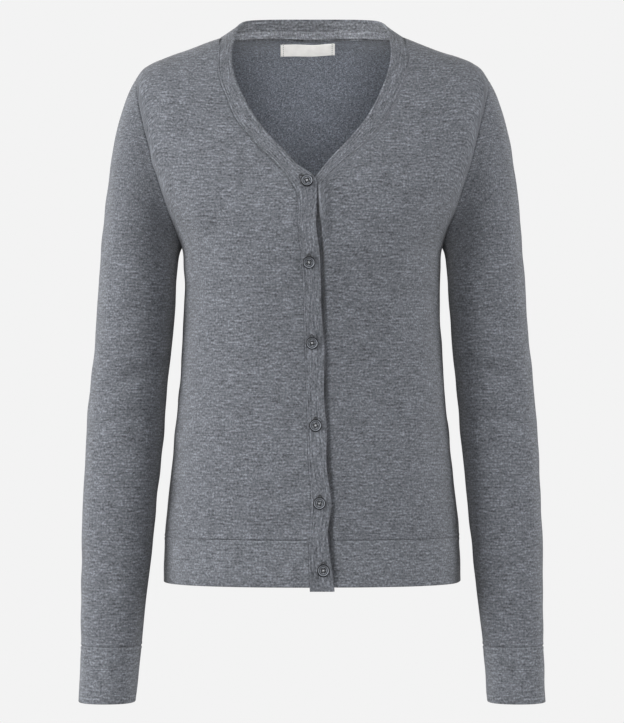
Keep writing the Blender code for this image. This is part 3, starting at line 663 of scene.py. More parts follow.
def armhole(side):
    """Turns round the armhole from 0 at its top, in front to pi and behind to -pi, and its line."""
    turn = np.linspace(-math.pi, math.pi, ARMHOLE_POINTS)
    middle = (SHOULDER_Z + UNDERARM_Z) / 2
    z = middle + (SHOULDER_Z - middle) * np.cos(turn)
    loop, normals = np.empty((len(turn), 3)), np.empty((len(turn), 3))
    for back in (False, True):
        part = (turn < 0) == back
        x = smooth(ARMHOLE["z"], ARMHOLE["x"], z[part])
        left, deepest = section(smooth(ARMHOLE["z"], ARMHOLE["x"], middle), middle, back)
        reach = deepest * left ** (1 / ROUND) * np.abs(np.sin(turn[part]))
        low = (1 - (reach / half_depth(z[part], back)) ** ROUND) ** (1 / ROUND)
        x = np.where(z[part] < middle, half_width(z[part]) * low, x)
        loop[part], normals[part] = torso(side * x, z[part], 0 if back else side)
    along = np.gradient(loop, axis=0)
    along[0] = along[-1] = loop[1] - loop[-2]
    outward = loop - (side * ARMHOLE_X, SIDE_Y, middle)
    sleeve_normals = turned(unit(np.cross(along, sleeve_heading(turn, side))), outward)
    return turn, as_line(loop, unit(normals + sleeve_normals))


def sleeve_heading(turn, side):
    """The way the sleeve leaves the armhole: out and down, and most level half way down."""
    out = HEADING_ENDS + HEADING_MIDDLE * np.sin(turn) ** 2
    return unit(stack(side * out, 0.0, -np.sqrt(1 - out**2)))


def back_knots(part):
    """The strip's seam or edge round half the back, from the middle to the high point of the shoulder."""
    if part == "edge":
        return stack(NECK_BACK["edge"], NECK_BACK["edge_y"], NECK_BACK["edge_z"])
    points, _ = torso(NECK_BACK["seam"], NECK_BACK["seam_z"])
    points[-1, 1] = SIDE_Y
    return points


def strip_knots(part):
    """The strip's seam or edge from the right band's lower end round the neck to the left band's."""
    back = back_knots(part)
    fronts = []
    for side, rows in ((-1, STRIP_RIGHT), (1, STRIP_LEFT)):
        points, _ = torso(side * rows[part], rows[part + "_z"], side)
        points[-1] = back[-1] * (side, 1, 1)
        fronts.append(points)
    return np.concatenate([fronts[0][:-1], back[:0:-1] * (-1, 1, 1), back, fronts[1][-2::-1]])


def edge_bow(z):
    """How far the upper band bows out at a height: nothing at each button, most half way between."""
    places = BUTTONS["z"][::-1]
    count = np.interp(z, places, np.arange(len(places)))
    return BOW * np.sin(math.pi * count) ** 2


class Strip:
    """The folded strip of both bands and the neckband: its outer face, rows along it from the right band's
    lower end, columns from its sewn seam to its folded edge."""

    def __init__(self):
        seam_knots, edge_knots = strip_knots("seam"), strip_knots("edge")
        far = lengths((seam_knots + edge_knots) / 2)
        self.at = spaced(far[-1], STRIP_STEPS[0]) * far[-1]
        self.width = np.linalg.norm(seam_knots - edge_knots, axis=-1).mean()
        self.span = spaced(self.width, STRIP_STEPS[1]) * (1 - BAND_WALL / 2 / self.width)
        self.corner = {-1: far[CORNER[-1]], 1: far[-1 - CORNER[1]]}
        self.shoulder = {-1: far[len(STRIP_RIGHT["seam"]) - 1], 1: far[-len(STRIP_LEFT["seam"])]}
        seam, edge = smooth(far, seam_knots, self.at), smooth(far, edge_knots, self.at)
        self.points = seam[:, None] + (edge - seam)[:, None] * self.span[:, None]
        self.lay_on_fronts()
        self.normals = grid_normals(self.points, (0, -1, 0))
        behind = (self.at > self.shoulder[-1]) & (self.at < self.shoulder[1])
        front, back = (torso_normal(self.points[:, 0], back) for back in (False, True))
        shared = unit(self.normals[:, 0] + np.where(behind[:, None], back, front))
        self.line = as_line(self.points[:, 0], shared)

    def lay_on_fronts(self):
        """The straight runs lie on the torso's form, and the upper one bows out between its buttons."""
        for side, rows in ((-1, self.at <= self.corner[-1]), (1, self.at >= self.corner[1])):
            flat = self.points[rows]
            bow = edge_bow(flat[..., 2]) * self.span if side < 0 else 0
            straight, out = torso(flat[..., 0], flat[..., 2], side, bow)
            if side > 0:
                flat = flat - out * gap(flat[..., 0], flat[..., 2])[..., None]
            rising = ease((flat[..., 2] - RISE_Z) / RISE_REACH)[..., None]
            self.points[rows] = straight + (flat - straight) * rising

    def seam(self, start, end):
        """The sewn seam's line from one length along the strip to another."""
        low, high = min(start, end), max(start, end)
        chosen = np.concatenate([[low], self.at[(self.at > low) & (self.at < high)], [high]])
        line = between(self.at, self.line, chosen)
        return line if start < end else line[::-1]

    def at_height(self, side, z):
        """The length along the strip where one band's seam is at this height."""
        half = self.at < self.corner[-1] if side < 0 else self.at > self.corner[1]
        heights, along = self.line[half, 2], self.at[half]
        order = np.argsort(heights)
        return np.interp(z, heights[order], along[order])


# Nets: even grids for the panels, worked out flat


def flattened(points):
    """Where points of the torso's form lie once it is unrolled round the body and over the shoulder."""
    below = np.maximum(0, ridge_at(points[..., 0]) - points[..., 2])
    around = GIRTH_RADIUS * np.arcsin(np.clip(points[..., 0] / half_width(points[..., 2]), -1, 1))
    return np.stack([around, -np.sqrt(below**2 + 2 * ROLL * below)], axis=-1)


def rolled(flat):
    """The x and z of flattened points."""
    below = np.sqrt(ROLL**2 + flat[..., 1] ** 2) - ROLL
    share = np.sin(np.clip(flat[..., 0] / GIRTH_RADIUS, -math.pi / 2, math.pi / 2))
    z = -below
    for _ in range(ROLL_ROUNDS):
        x = half_width(z) * share
        z = ridge_at(x) - below
    return x, z


def net(bottom, top, left, right):
    """A grid between four flat borders, its lines drawn even like those of a stretched net."""
    up = np.linspace(0, 1, len(left))[:, None, None]
    over = np.linspace(0, 1, len(bottom))[None, :, None]
    grid = left[:, None] * (1 - over) + right[:, None] * over
    grid += (bottom - grid[0]) * (1 - up) + (top - grid[-1]) * up
    for _ in range(NET_ROUNDS):
        sides = grid[1:-1, :-2] + grid[1:-1, 2:]
        grid[1:-1, 1:-1] = (grid[:-2, 1:-1] + grid[2:, 1:-1] + sides) / 4
    return grid


def border(lines, counts, at):
    """A border's rows at places counted in the net's coarse steps."""
    found = np.empty((len(at), 6))
    start = 0
    for line, count in zip(lines, counts):
        part = (at >= start) & (at <= start + count)
        found[part] = read(line, (at[part] - start) / count)
        start += count
    return found


BORDERS = {"bottom": np.s_[0], "top": np.s_[-1], "left": np.s_[:, 0], "right": np.s_[:, -1]}
INSIDE = {"bottom": np.s_[1], "top": np.s_[-2], "left": np.s_[:, 1], "right": np.s_[:, -2]}


def panel(borders, side):
    """A panel's outer face and normals, from (lines, coarse counts) for each of its BORDERS."""
    coarse = [border(*one, np.arange(sum(one[1]) + 1.0))[:, :3] for one in borders]
    grid = net(*map(flattened, coarse))
    across, rows = (
        spaced(sum(lengths(line[:, :3])[-1] for line in lines), PANEL_STEP) * sum(counts)
        for lines, counts in (borders[0], borders[2])
    )
    grid = smooth(np.arange(len(grid)), grid, rows)
    grid = smooth(np.arange(grid.shape[1]), grid.swapaxes(0, 1), across).swapaxes(0, 1)
    points, normals = torso(*rolled(grid), side)
    for (name, pick), one in zip(BORDERS.items(), borders):
        level = name in ("bottom", "top")
        found = border(*one, across if level else rows)
        points[pick] = found[:, :3]
        shared = found[None, :, 3:] if level else found[:, None, 3:]
        weight = near(away_from(points, name), SHARED_REACH) * np.linalg.norm(shared, axis=-1)
        normals = unit(normals * (1 - weight)[..., None] + shared * weight[..., None])
    return points, normals


def away_from(points, name):
    """How far each point of a grid is from one of its borders, along the grid."""
    axis = 0 if name in ("bottom", "top") else 1
    far = lengths(points, axis)
    return far if name in ("bottom", "left") else np.take(far, [-1], axis=axis) - far


def line_on(x, z, side):
    return as_line(torso(x, z, side)[0])


def side_line(side, back):
    z = np.linspace(HEM_SEAM_Z, UNDERARM_Z, SEAM_POINTS)
    return line_on(side * half_width(z), z, 0 if back else side)


def shoulder_line(side, back):
    x = side * np.linspace(NECK_X, SHOULDER_X, SHOULDER_POINTS)
    return line_on(x, ridge_at(x), 0 if back else side)


def armhole_line(side, back):
    """One side of the armhole, from the underarm up to the shoulder."""
    turn, line = armhole(side)
    return line[turn <= 0] if back else line[turn >= 0][::-1]


# Relief of the cloth


def near(away, reach):
    return np.exp(-((away / reach) ** 2))


def groove(away, depth, width):
    """A sewn seam's groove, and the cloth's slight swell beside it."""
    share, place, reach = BESIDE_GROOVE
    return share * depth * near(away - place, reach) - depth * near(away, width)


def ripples(at, waves):
    return sum(height * np.sin(at * rate + turn) for height, rate, turn in waves)


def moved_out(points, normals, amount):
    return points + normals * amount[..., None]


def sewn(points, normals, extra=0.0, **grooves):
    """The grid with a seam's groove along some borders, which run a little into the neighbour there."""
    relief = extra + sum(groove(away_from(points, name), *size) for name, size in grooves.items())
    moved = points.copy()
    for name in grooves:
        edge = BORDERS[name]
        moved[edge] += OVERLAP * unit(points[edge] - points[INSIDE[name]])
    return moved_out(moved, normals, relief)


# Meshes


def shell(name, outer, normals, wall, uv, faces_of, fold=0):
    """A closed cloth shell, with one material outside and one inside. With a fold, its first row is a
    rounded edge. Where its last column lies on its first, the two are joined."""
    inner = outer - normals * wall
    rim, rim_uv = outer[:0], uv[:0]
    if fold:
        half = (outer[0] - inner[0]) / 2
        out = outer[0] - outer[1]
        out = out - half * (np.sum(out * half, axis=-1) / np.sum(half * half, axis=-1))[:, None]
        out = unit(out) * np.linalg.norm(half, axis=-1, keepdims=True)
        turn = (math.pi * np.arange(1, fold + 1) / (fold + 1))[:, None, None]
        rim = (outer[0] + inner[0]) / 2 + half * np.cos(turn) + out * np.sin(turn)
        rim_uv = np.repeat(uv[:1], fold, axis=0)
    grid = np.concatenate([outer[::-1], rim, inner])
    grid_uv = np.concatenate([uv[::-1], rim_uv, uv])
    index = np.arange(grid.shape[0] * grid.shape[1]).reshape(grid.shape[:2])
    after = np.roll(index, -1, axis=0)
    faces = np.stack([index[:, :-1], index[:, 1:], after[:, 1:], after[:, :-1]], axis=-1)
    inside = np.zeros(faces.shape[:2], bool)
    inside[len(outer) + fold : -1] = True
    faces, inside = faces.reshape(-1, 4).tolist(), inside.ravel().tolist()
    if np.linalg.norm(grid[:, 0] - grid[:, -1], axis=-1).max() > WELD:
        faces += end_caps(index, len(outer), fold)
    inside += [False] * (len(faces) - len(inside))
    return cloth_mesh(name, grid.reshape(-1, 3), faces, inside, grid_uv.reshape(-1, 2), faces_of)


def end_caps(index, count, fold):
    """Faces that close a shell's two ends: a quad at each row, and one face at the folded edge."""
    caps = []
    for line in (index[:, 0].tolist(), index[:, -1].tolist()):
        outer, inner = line[:count][::-1], line[count + fold :]
        for row in range(count - 1):
            caps.append([outer[row], outer[row + 1], inner[row + 1], inner[row]])
        if fold:
            caps.append(line[count - 1 : count + fold + 1])
    return caps


def cloth_mesh(name, points, faces, inside, uv, faces_of):
    mesh = bpy.data.meshes.new(name)
    mesh.from_pydata(points.tolist(), [], faces)
    mesh.polygons.foreach_set("material_index", inside)
    layer = mesh.uv_layers.new(name="cloth")
    corners = np.empty(len(mesh.loops), np.int32)
    mesh.loops.foreach_get("vertex_index", corners)
    layer.data.foreach_set("uv", uv[corners].ravel().astype(np.float32))
    return finished(name, mesh, *faces_of)


def as_mesh(name, work):
    mesh = bpy.data.meshes.new(name)
    work.to_mesh(mesh)
    work.free()
    return mesh


def in_scene(name, data):
    obj = bpy.data.objects.new(name, data)
    bpy.context.scene.collection.objects.link(obj)
    return obj


def finished(name, mesh, *materials):
    work = bmesh.new()
    work.from_mesh(mesh)
    bmesh.ops.remove_doubles(work, verts=work.verts, dist=WELD)
    bmesh.ops.recalc_face_normals(work, faces=work.faces)
    work.to_mesh(mesh)
    work.free()
    mesh.shade_smooth()
    for material in materials:
        mesh.materials.append(material)
    return in_scene(name, mesh)


def add(obj, slot, *nodes):
    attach(obj, "root")
    if nodes:
        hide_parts(*nodes)


def as_cloth(obj, slot, nodes=()):
    """Hangs a cloth piece on the root and hides the solids that it replaces."""
    add(obj, slot, *(nodes or [obj.name.removeprefix("knit_")]))


def level_uv(points):
    """Places on a panel for its knit: along the courses, which run level, and up the wales."""
    sense = 1 if points[0, -1, 0] > points[0, 0, 0] else -1
    across, up = np.diff(points, axis=1), np.diff(points, axis=0)
    u = np.cumsum(sense * np.hypot(across[..., 0], across[..., 1]), axis=1)
    v = np.cumsum(np.sign(up[..., 2]) * np.hypot(up[..., 1], up[..., 2]), axis=0)
    u = points[:, :1, 0] + np.insert(u, 0, 0, axis=1)
    v = points[:1, :, 2] + np.insert(v, 0, 0, axis=0)
    return np.stack([u, v], axis=-1)


# Panels, sleeves and bands


def body_panel(name, borders, side, materials, inner=SEAM_GROOVE):
    points, normals = panel(borders, side)
    uv = level_uv(points)
    grooves = {"bottom": FOLD_GROOVE, "top": SEAM_GROOVE, "left": inner, "right": SEAM_GROOVE}
    points = sewn(points, normals, **grooves)
    return shell("knit_" + name, points, normals, PANEL_WALL, uv, materials["knit"])


def front_panel(side, strip, materials):
    hem = strip.at_height(side, HEM_SEAM_Z)
    low = strip.seam(hem, strip.corner[side])
    high = strip.seam(strip.corner[side], strip.shoulder[side])
    round_front = np.sin(np.linspace(0, math.pi / 2, SEAM_POINTS // 2))
    x = low[0, 0] + (side * half_width(HEM_SEAM_Z) - low[0, 0]) * round_front
    borders = (
        ([line_on(x, 0 * x + HEM_SEAM_Z, side)], FRONT_NET),
        ([shoulder_line(side, False)], FRONT_NET),
        ([low, high], NET_ROWS),
        ([side_line(side, False), armhole_line(side, False)], NET_ROWS),
    )
    return body_panel("front_" + WORD[side], borders, side, materials, STRIP_GROOVE)


def back_panel(strip, materials):
    x = half_width(HEM_SEAM_Z) * np.sin(np.linspace(-math.pi / 2, math.pi / 2, SEAM_POINTS))
    neck = strip.seam(strip.shoulder[-1], strip.shoulder[1])
    borders = (
        ([line_on(x, 0 * x + HEM_SEAM_Z, 0)], [sum(BACK_NET)]),
        ([shoulder_line(-1, True)[::-1], neck, shoulder_line(1, True)], BACK_NET),
        *(([side_line(side, True), armhole_line(side, True)], NET_ROWS) for side in (-1, 1)),
    )
    return body_panel("back", borders, 0, materials)


def ring_at(turn, z, side):
    """The sleeve's section at a height, from turns round it."""
    heights = SLEEVE["z"][::-1]
    _, out, wide, y, deep = (smooth(heights, values[::-1], z) for values in SLEEVE.values())
    return stack(side * (out + wide * rounded(np.cos(turn))), y - deep * rounded(np.sin(turn)), z)


def rounded(share):
    return np.sign(share) * np.abs(share) ** (2 / SLEEVE_ROUND)


def one_sided(length):
    """Shares from 0 to 1 along a length, close together at its start."""
    far = SEAM_STEPS[-1]
    rest = np.linspace(far, length, max(2, round((length - far) / PANEL_STEP)))
    return np.concatenate([SEAM_STEPS[:-1], rest]) / length


def round_once(girth):
    """Turns round a tube, from the underside round the front and back to it."""
    return math.pi * (2 * spaced(girth, PANEL_STEP) - 1)


def sleeve_grid(side):
    """The sleeve from armhole to cuff seam, its last column on its first: points, normals and places in
    its knit."""
    turn = round_once(SLEEVE_GIRTH)
    loop = between(*armhole(side), turn)
    top = SLEEVE["z"][0]
    first = ring_at(turn, top, side)
    reach = np.linalg.norm(first - loop[:, :3], axis=-1, keepdims=True)
    heading, down = sleeve_heading(turn, side), unit(np.array([HANG_SLOPE * side, 0, -1.0]))
    rows = []
    for t in one_sided(CAP_LENGTH)[:-1]:
        start = loop[:, :3] * (1 + 2 * t) + heading * reach * HEADING_PULL * t
        end = first * (3 - 2 * t) - down * reach * HANG_PULL * (1 - t)
        rows.append(start * (1 - t) ** 2 + end * t**2)
    cap_rows = len(rows)
    drop = top - CUFF_SEAM_Z
    rows += [ring_at(turn, CUFF_SEAM_Z + drop * share, side) for share in one_sided(drop)[::-1]]
    points = np.array(rows)
    normals = ring_normals(points)
    away = lengths(points)
    normals = normals + near(away, SHARED_REACH)[..., None] * (loop[:, 3:] - normals)
    normals = unit(normals)
    points = moved_out(points, normals, crease(points, normals) * ease(away / CREASE_REACH))
    round_it = lengths(points, 1)
    u = round_it - round_it[:, [int(np.argmin(np.abs(turn)))]]
    return points, normals, np.stack([u, away[cap_rows] - away], axis=-1)


def ring_normals(points):
    """Normals of a tube whose last column repeats its first."""
    ring = points[:, :-1]
    across = np.roll(ring, -1, axis=1) - np.roll(ring, 1, axis=1)
    normals = unit(np.cross(across, np.gradient(ring, axis=0)))
    normals = turned(normals, ring - ring.mean(axis=1, keepdims=True))
    return np.concatenate([normals, normals[:, :1]], axis=1)


def tube_seam(points):
    """The groove of the one seam down a tube, where its last column lies on its first."""
    return sum(groove(away_from(points, name), *TUBE_GROOVE) for name in ("left", "right"))


def tube_shell(name, points, normals, uv, wall, faces_of, fold=0, **grooves):
    points = sewn(points, normals, tube_seam(points), **grooves)
    points[:, -1], normals[:, -1] = points[:, 0], normals[:, 0]
    return shell(name, points, normals, wall, uv, faces_of, fold)


def sleeve(side, materials):
    made = sleeve_grid(side)
    grooves = {"bottom": SEAM_GROOVE, "top": FOLD_GROOVE}
    return tube_shell("knit_sleeve_" + WORD[side], *made, PANEL_WALL, materials["knit"], **grooves)


def cuff(side, materials):
    turn = round_once(CUFF_GIRTH)
    seam, end = ring_at(turn, CUFF_SEAM_Z, side), ring_at(turn, CUFF_Z + FOLD_WALL / 2, side)
    share = one_sided(CUFF_SEAM_Z - CUFF_Z)[::-1, None, None]
    points = seam + (end - seam) * share
    normals = ring_normals(points)
    points = moved_out(points, normals, crease(points, normals))
    far = lengths(points, 1)
    made = points, normals, np.stack([far - far[:, [-1]] / 2, points[..., 2]], axis=-1)
    name = "knit_cuff_" + WORD[side]
    return tube_shell(name, *made, FOLD_WALL, materials["trim"], EDGE_ROUND, top=FOLD_GROOVE)


def hem_band(side, strip, materials):
    """The doubled band at the hem of one front, or of the back where side is 0."""
    height = HEM_SEAM_Z - HEM_Z
    z = HEM_SEAM_Z - (height - FOLD_WALL / 2) * one_sided(height)[::-1, None]
    share = spaced(HEM_LENGTHS[side], PANEL_STEP)
    if side:
        start = between(strip.at, strip.line, [strip.at_height(side, low) for low in z[:, 0]])[:, :1]
        x = start + (side * half_width(z) - start) * np.sin(share * math.pi / 2)
    else:
        x = half_width(z) * np.sin((share - 0.5) * math.pi)
    points, normals = torso(x, z + 0 * x, side)
    uv = level_uv(points)
    inner = STRIP_GROOVE if side else SEAM_GROOVE
    points = sewn(points, normals, top=FOLD_GROOVE, left=inner, right=SEAM_GROOVE)
    name = "knit_hem_band_" + WORD[side]
    return shell(name, points, normals, FOLD_WALL, uv, materials["trim"], EDGE_ROUND)


def whole_strip(strip, materials):
    """Both bands and the neckband as the one folded strip that they are."""
    points, normals = strip.points, strip.normals
    away = lengths(points, 1)
    shared = strip.line[:, None, 3:]
    normals = unit(normals + near(away, SHARED_REACH)[..., None] * (shared - normals))
    relief = STRIP_CROWN[0] * (1 - near(away, STRIP_CROWN[1]))
    relief -= STRIP_GROOVE[0] * near(away, STRIP_GROOVE[1])
    for height, place, width in STRIP_RIDGES:
        relief += height * near(away - place, width)
    relief += FOLD_RIDGE[0] * near(away[:, -1:] - away - FOLD_RIDGE[1], FOLD_RIDGE[2])
    uv = np.stack(np.broadcast_arrays(strip.at[:, None], strip.span * strip.width), axis=-1)
    points = moved_out(points, normals, relief)
    points[:, 0] -= OVERLAP * unit(points[:, 1] - points[:, 0])
    outer, normals, uv = (grid.swapaxes(0, 1)[::-1] for grid in (points, normals, uv))
    return shell("knit_strip", outer, normals, BAND_WALL, uv, materials["band"], EDGE_ROUND)


def neck_tape(strip, materials):
    """The ribbed strip that covers the neck seam inside the back."""
    behind = np.abs((strip.shoulder[-1] + strip.shoulder[1]) / 2 - strip.at) < TAPE_HALF
    at = np.arange(strip.at[behind][0], strip.at[behind][-1], TAPE_STEP)
    span = np.linspace(*TAPE_SPAN, TAPE_COLUMNS)
    columns = range(len(strip.span))
    rows = np.stack([between(strip.at, strip.points[:, i], at) for i in columns], axis=1)
    grid = np.stack([smooth(strip.span, row, span) for row in rows])
    inward = -grid_normals(grid, (0, 1, 1))
    ribs = TAPE_RELIEF * np.cos((at - (at[0] + at[-1]) / 2) * TURN / TAPE_RIB)
    ribs = (ribs + ripples(at, TAPE_RIPPLES))[:, None] * np.ones(len(span))
    grid = grid + inward * (BAND_WALL + LINING_GAP)
    uv = np.stack(np.broadcast_arrays(at[:, None], span * strip.width), axis=-1)
    made = (moved_out(grid, inward, TAPE_OUT + ribs), inward, uv)
    outer, normals, uv = (part.swapaxes(0, 1) for part in made)
    return shell("knit_neck_tape", outer, normals, TAPE_WALL, uv, materials["tape"])


def label(materials):
    """The blank woven label, sewn down near its two ends."""
    x = np.linspace(*LABEL_X, LABEL_POINTS[0])[None]
    share = np.linspace(0, 1, LABEL_POINTS[1])[:, None]
    end = np.minimum(x - LABEL_X[0], LABEL_X[1] - x)
    fray = ripples(x, FRAY) * near(end, FRAY_REACH)
    tilt = LABEL_TILT * (x - sum(LABEL_X) / 2)
    z = LABEL_Z[0] + (LABEL_Z[1] - LABEL_Z[0]) * share + fray * (2 * share - 1) + tilt
    shifts = np.linspace(-LABEL_EVEN, LABEL_EVEN, EVEN_STEPS)
    forms = zip(*(torso(x + by + 0 * z, z) for by in shifts))
    points, normals = (sum(parts) / len(shifts) for parts in forms)
    inward = -unit(normals)
    lift = LABEL_BULGE * np.sin(share * math.pi) + ripples(x, LABEL_RIPPLES)
    lift = lift - STITCH_PULL[0] * near(end - STITCH_AWAY, STITCH_PULL[1])
    points = moved_out(points, inward, PANEL_WALL + LINING_GAP + LABEL_OUT + lift)
    paths = []
    for place in (LABEL_X[0] + STITCH_AWAY, LABEL_X[1] - STITCH_AWAY):
        column = np.argmin(np.abs(x[0] - place))
        on_top = points[:, column] + STITCH_LIFT * inward[:, column]
        paths += [on_top[row : row + STITCH_ROWS] for row in range(2, len(share) - 3, STITCH_EVERY)]
    add(tube("thread_label", paths, STITCH_RADIUS, materials["edging"]), "woven_label")
    uv = np.stack([points[..., 0], points[..., 2]], axis=-1)
    return shell("label_blank", points, inward, LABEL_WALL, uv, materials["label"])


# Buttons


def circle(work, centre, radius, height, count):
    made = []
    for i in range(count):
        turn = TURN * i / count
        x, y = centre[0] + radius * math.cos(turn), centre[1] + radius * math.sin(turn)
        made.append(work.verts.new((x, y, height)))
    return made


def wall(mesh, low, high):
    for i, corner in enumerate(low):
        after = (i + 1) % len(low)
        mesh.faces.new((corner, low[after], high[after], high[i]))


def edges_of(mesh, loop):
    return [mesh.edges.get((a, loop[(i + 1) % len(loop)])) for i, a in enumerate(loop)]


def hole_spots():
    for i in range(4):
        angle = math.pi / 4 + i * math.pi / 2
        yield BUTTON_HOLE_OFFSET * math.cos(angle), BUTTON_HOLE_OFFSET * math.sin(angle)


def button_mesh(material):
    """A four-hole button with a raised rim and a sunk ring inside it, its back in the plane z = 0."""
    work = bmesh.new()
    sizes = zip(BUTTON_RINGS["radius"], BUTTON_RINGS["height"])
    rings = [circle(work, (0, 0), *size, BUTTON_SIDES) for size in sizes]
    for low, high in zip(rings, rings[1:]):
        wall(work, low, high)
    top = BUTTON_RINGS["height"][-1]
    floor, backs = [rings[-1]], [rings[0]]
    for spot in hole_spots():
        low = circle(work, spot, BUTTON_HOLE_RADIUS, 0, HOLE_SIDES)
        high = circle(work, spot, BUTTON_HOLE_RADIUS, top, HOLE_SIDES)
        wall(work, low, high)
        floor.append(high)
        backs.append(low)
    for loops in (floor, backs):
        edges = [edge for loop in loops for edge in edges_of(work, loop)]
        bmesh.ops.triangle_fill(work, use_beauty=True, use_dissolve=False, edges=edges)
    bmesh.ops.recalc_face_normals(work, faces=work.faces)
    mesh = as_mesh("button", work)
    mesh.shade_smooth()
    mesh.set_sharp_from_angle(angle=math.radians(SHARP))
    mesh.materials.append(material)
    return mesh


def tube(name, paths, radius, material, closed=False):
    """Round threads along paths of points, as one mesh."""
    work = bmesh.new()
    turns = TURN * np.arange(TUBE_SIDES) / TUBE_SIDES
    for path in paths:
        if closed:
            along = unit(np.roll(path, -1, axis=0) - np.roll(path, 1, axis=0))
        else:
            along = unit(np.gradient(path, axis=0))
        side = unit(np.cross(along, SKEW))
        rings = []
        for point, one, two in zip(path, side, np.cross(side, along)):
            ring = point + radius * (np.outer(np.cos(turns), one) + np.outer(np.sin(turns), two))
            rings.append([work.verts.new(corner) for corner in ring])
        for low, high in zip(rings, rings[1:] + rings[:1] if closed else rings[1:]):
            wall(work, low, high)
        if not closed:
            work.faces.new(rings[0][::-1])
            work.faces.new(rings[-1])
    return finished(name, as_mesh(name, work), material)


def button_thread(name, material):
    """Thread crossed over the button's four holes and going down through them."""
    spots = THREAD_REACH * np.array(list(hole_spots()))
    top = BUTTON_RINGS["height"][-1]
    paths = []
    for start, end, rise in zip(spots, spots[2:], THREAD_RISES):
        run = end - start
        for shift in (-1, 1):
            aside = shift * THREAD * np.array([-run[1], run[0]]) / np.linalg.norm(run)
            path = []
            for share in np.linspace(-THREAD_PAST, 1 + THREAD_PAST, THREAD_POINTS):
                height = top + rise * math.sin(math.pi * min(max(share, 0), 1)) ** 0.5
                height -= THREAD_DIP if share < 0 or share > 1 else 0
                path.append((*(start + run * np.clip(share, 0, 1) + aside), height))
            paths.append(np.array(path))
    return tube(name, paths, THREAD, material)


def buttonhole(name, material):
    """The worked edge of a buttonhole: a long ring of close stitches, pointed at both ends."""
    turn = TURN * np.arange(EDGING_STEPS) / EDGING_STEPS
    across = BUTTONHOLE_WIDTH * np.sign(np.cos(turn)) * np.abs(np.cos(turn)) ** EDGING_POINT
    up = BUTTONHOLE_HALF * np.sin(turn)
    low, rise, stitch = EDGING_HEIGHTS
    beyond = ease((np.abs(up) - EDGING_CLIMB[0]) / EDGING_CLIMB[1])
    height = low + rise * beyond + stitch * np.cos(turn * EDGING_STEPS / 2)
    return tube(name, [stack(across, up, height)], EDGING_RADIUS, material, closed=True)


def facing(x, z):
    """Where the upper band lies at (x, z), and the turn that faces a flat thing straight out of it."""
    point, normal = torso(np.array([x]), np.array([z]), -1)
    out = Vector(normal[0])
    up = out.cross(Vector((1, 0, 0))).normalized()
    return Vector(point[0]), out, Matrix((up.cross(out), up, out)).transposed().to_4x4()


def about_z(degrees):
    return Matrix.Rotation(math.radians(degrees), 4, "Z")


def buttons(materials):
    mesh = button_mesh(materials["resin"])
    rows = zip(BUTTONS["x"], BUTTONS["z"], SPINS, LEANS, RISES)
    for i, (x, z, spin, lean, rise) in enumerate(rows, 1):
        point, out, turn = facing(x, z)
        button = in_scene(f"resin_button_{i}", mesh)
        thread = button_thread(f"thread_button_{i}", materials["thread"])
        for obj in (button, thread):
            obj.matrix_world = Matrix.Translation(point + out * BUTTON_REST) @ turn @ about_z(spin)
        add(button, "button_resin", f"button_{i}")
        add(thread, "melange_trim")
        hole = buttonhole(f"thread_buttonhole_{i}", materials["edging"])
        place = Matrix.Translation(point) @ turn @ about_z(lean)
        hole.matrix_world = place @ Matrix.Translation((0, rise, 0))
        add(hole, "melange_trim")


# Materials


class Field:
    """A number, colour or vector that varies over a surface, worked out by shader nodes."""

    def __init__(self, tree, socket):
        self.tree, self.socket = tree, socket

    def math(self, operation, *others):
        return add_node(self.tree, "Math", dict(enumerate((self, *others))), operation=operation)

    def __add__(self, other):
        return self.math("ADD", other)

    def __sub__(self, other):
        return self.math("SUBTRACT", other)

    def __mul__(self, other):
        return self.math("MULTIPLY", other)

    def __truediv__(self, other):
        return self.math("DIVIDE", other)

    def __abs__(self):
        return self.math("ABSOLUTE")


def plug(tree, node, inputs):
    """Gives a node's inputs their values, or links the fields that they follow."""
    for name, value in inputs.items():
        if isinstance(value, Field):
            tree.links.new(value.socket, node.inputs[name])
        else:
            node.inputs[name].default_value = value


def add_node(tree, kind, inputs, output=0, **settings):
    node = tree.nodes.new("ShaderNode" + kind)
    for name, value in settings.items():
        setattr(node, name, value)
    plug(tree, node, inputs)
    return Field(tree, node.outputs[output])


def two_axes(place):
    parts = add_node(place.tree, "SeparateXYZ", {0: place})
    return parts, Field(place.tree, parts.socket.node.outputs["Y"])


def noise(place, scale, detail=2.0, rough=0.5):
    """Noise at places stretched by scale along each axis."""
    stretched = add_node(place.tree, "Mapping", {"Scale": scale, "Vector": place})
    inputs = {"Vector": stretched, "Scale": 1.0, "Detail": detail, "Roughness": rough}
    return add_node(place.tree, "TexNoise", inputs, "Fac")


def tones(tint, stops):
    """Stops of a ramp from places and shares of a tint."""
    return [(at, tuple(light * channel for channel in tint)) for at, light in stops]


def ramp(value, stops):
    shades = add_node(value.tree, "ValToRGB", {"Fac": value}, "Color")
    elements = shades.socket.node.color_ramp.elements
    while len(elements) < len(stops):
        elements.new(0.5)
    for element, (place, colour) in zip(elements, stops):
        element.position = place
        element.color = (*colour, 1)
    return shades


def bump(height, distance, strength, **inputs):
    inputs.update(Distance=distance, Strength=strength, Height=height)
    return add_node(height.tree, "Bump", inputs, "Normal")


def cloth_place(tree):
    return add_node(tree, "UVMap", {}, "UV", uv_map="cloth")


def object_place(tree):
    return add_node(tree, "TexCoord", {}, "Object")


def new_material(name, place_of, paint):
    """A material whose shader takes the inputs that paint gives for a place on the surface."""
    material = bpy.data.materials.new(name)
    material.use_nodes = True
    tree = material.node_tree
    plug(tree, tree.nodes["Principled BSDF"], paint(place_of(tree)))
    return material


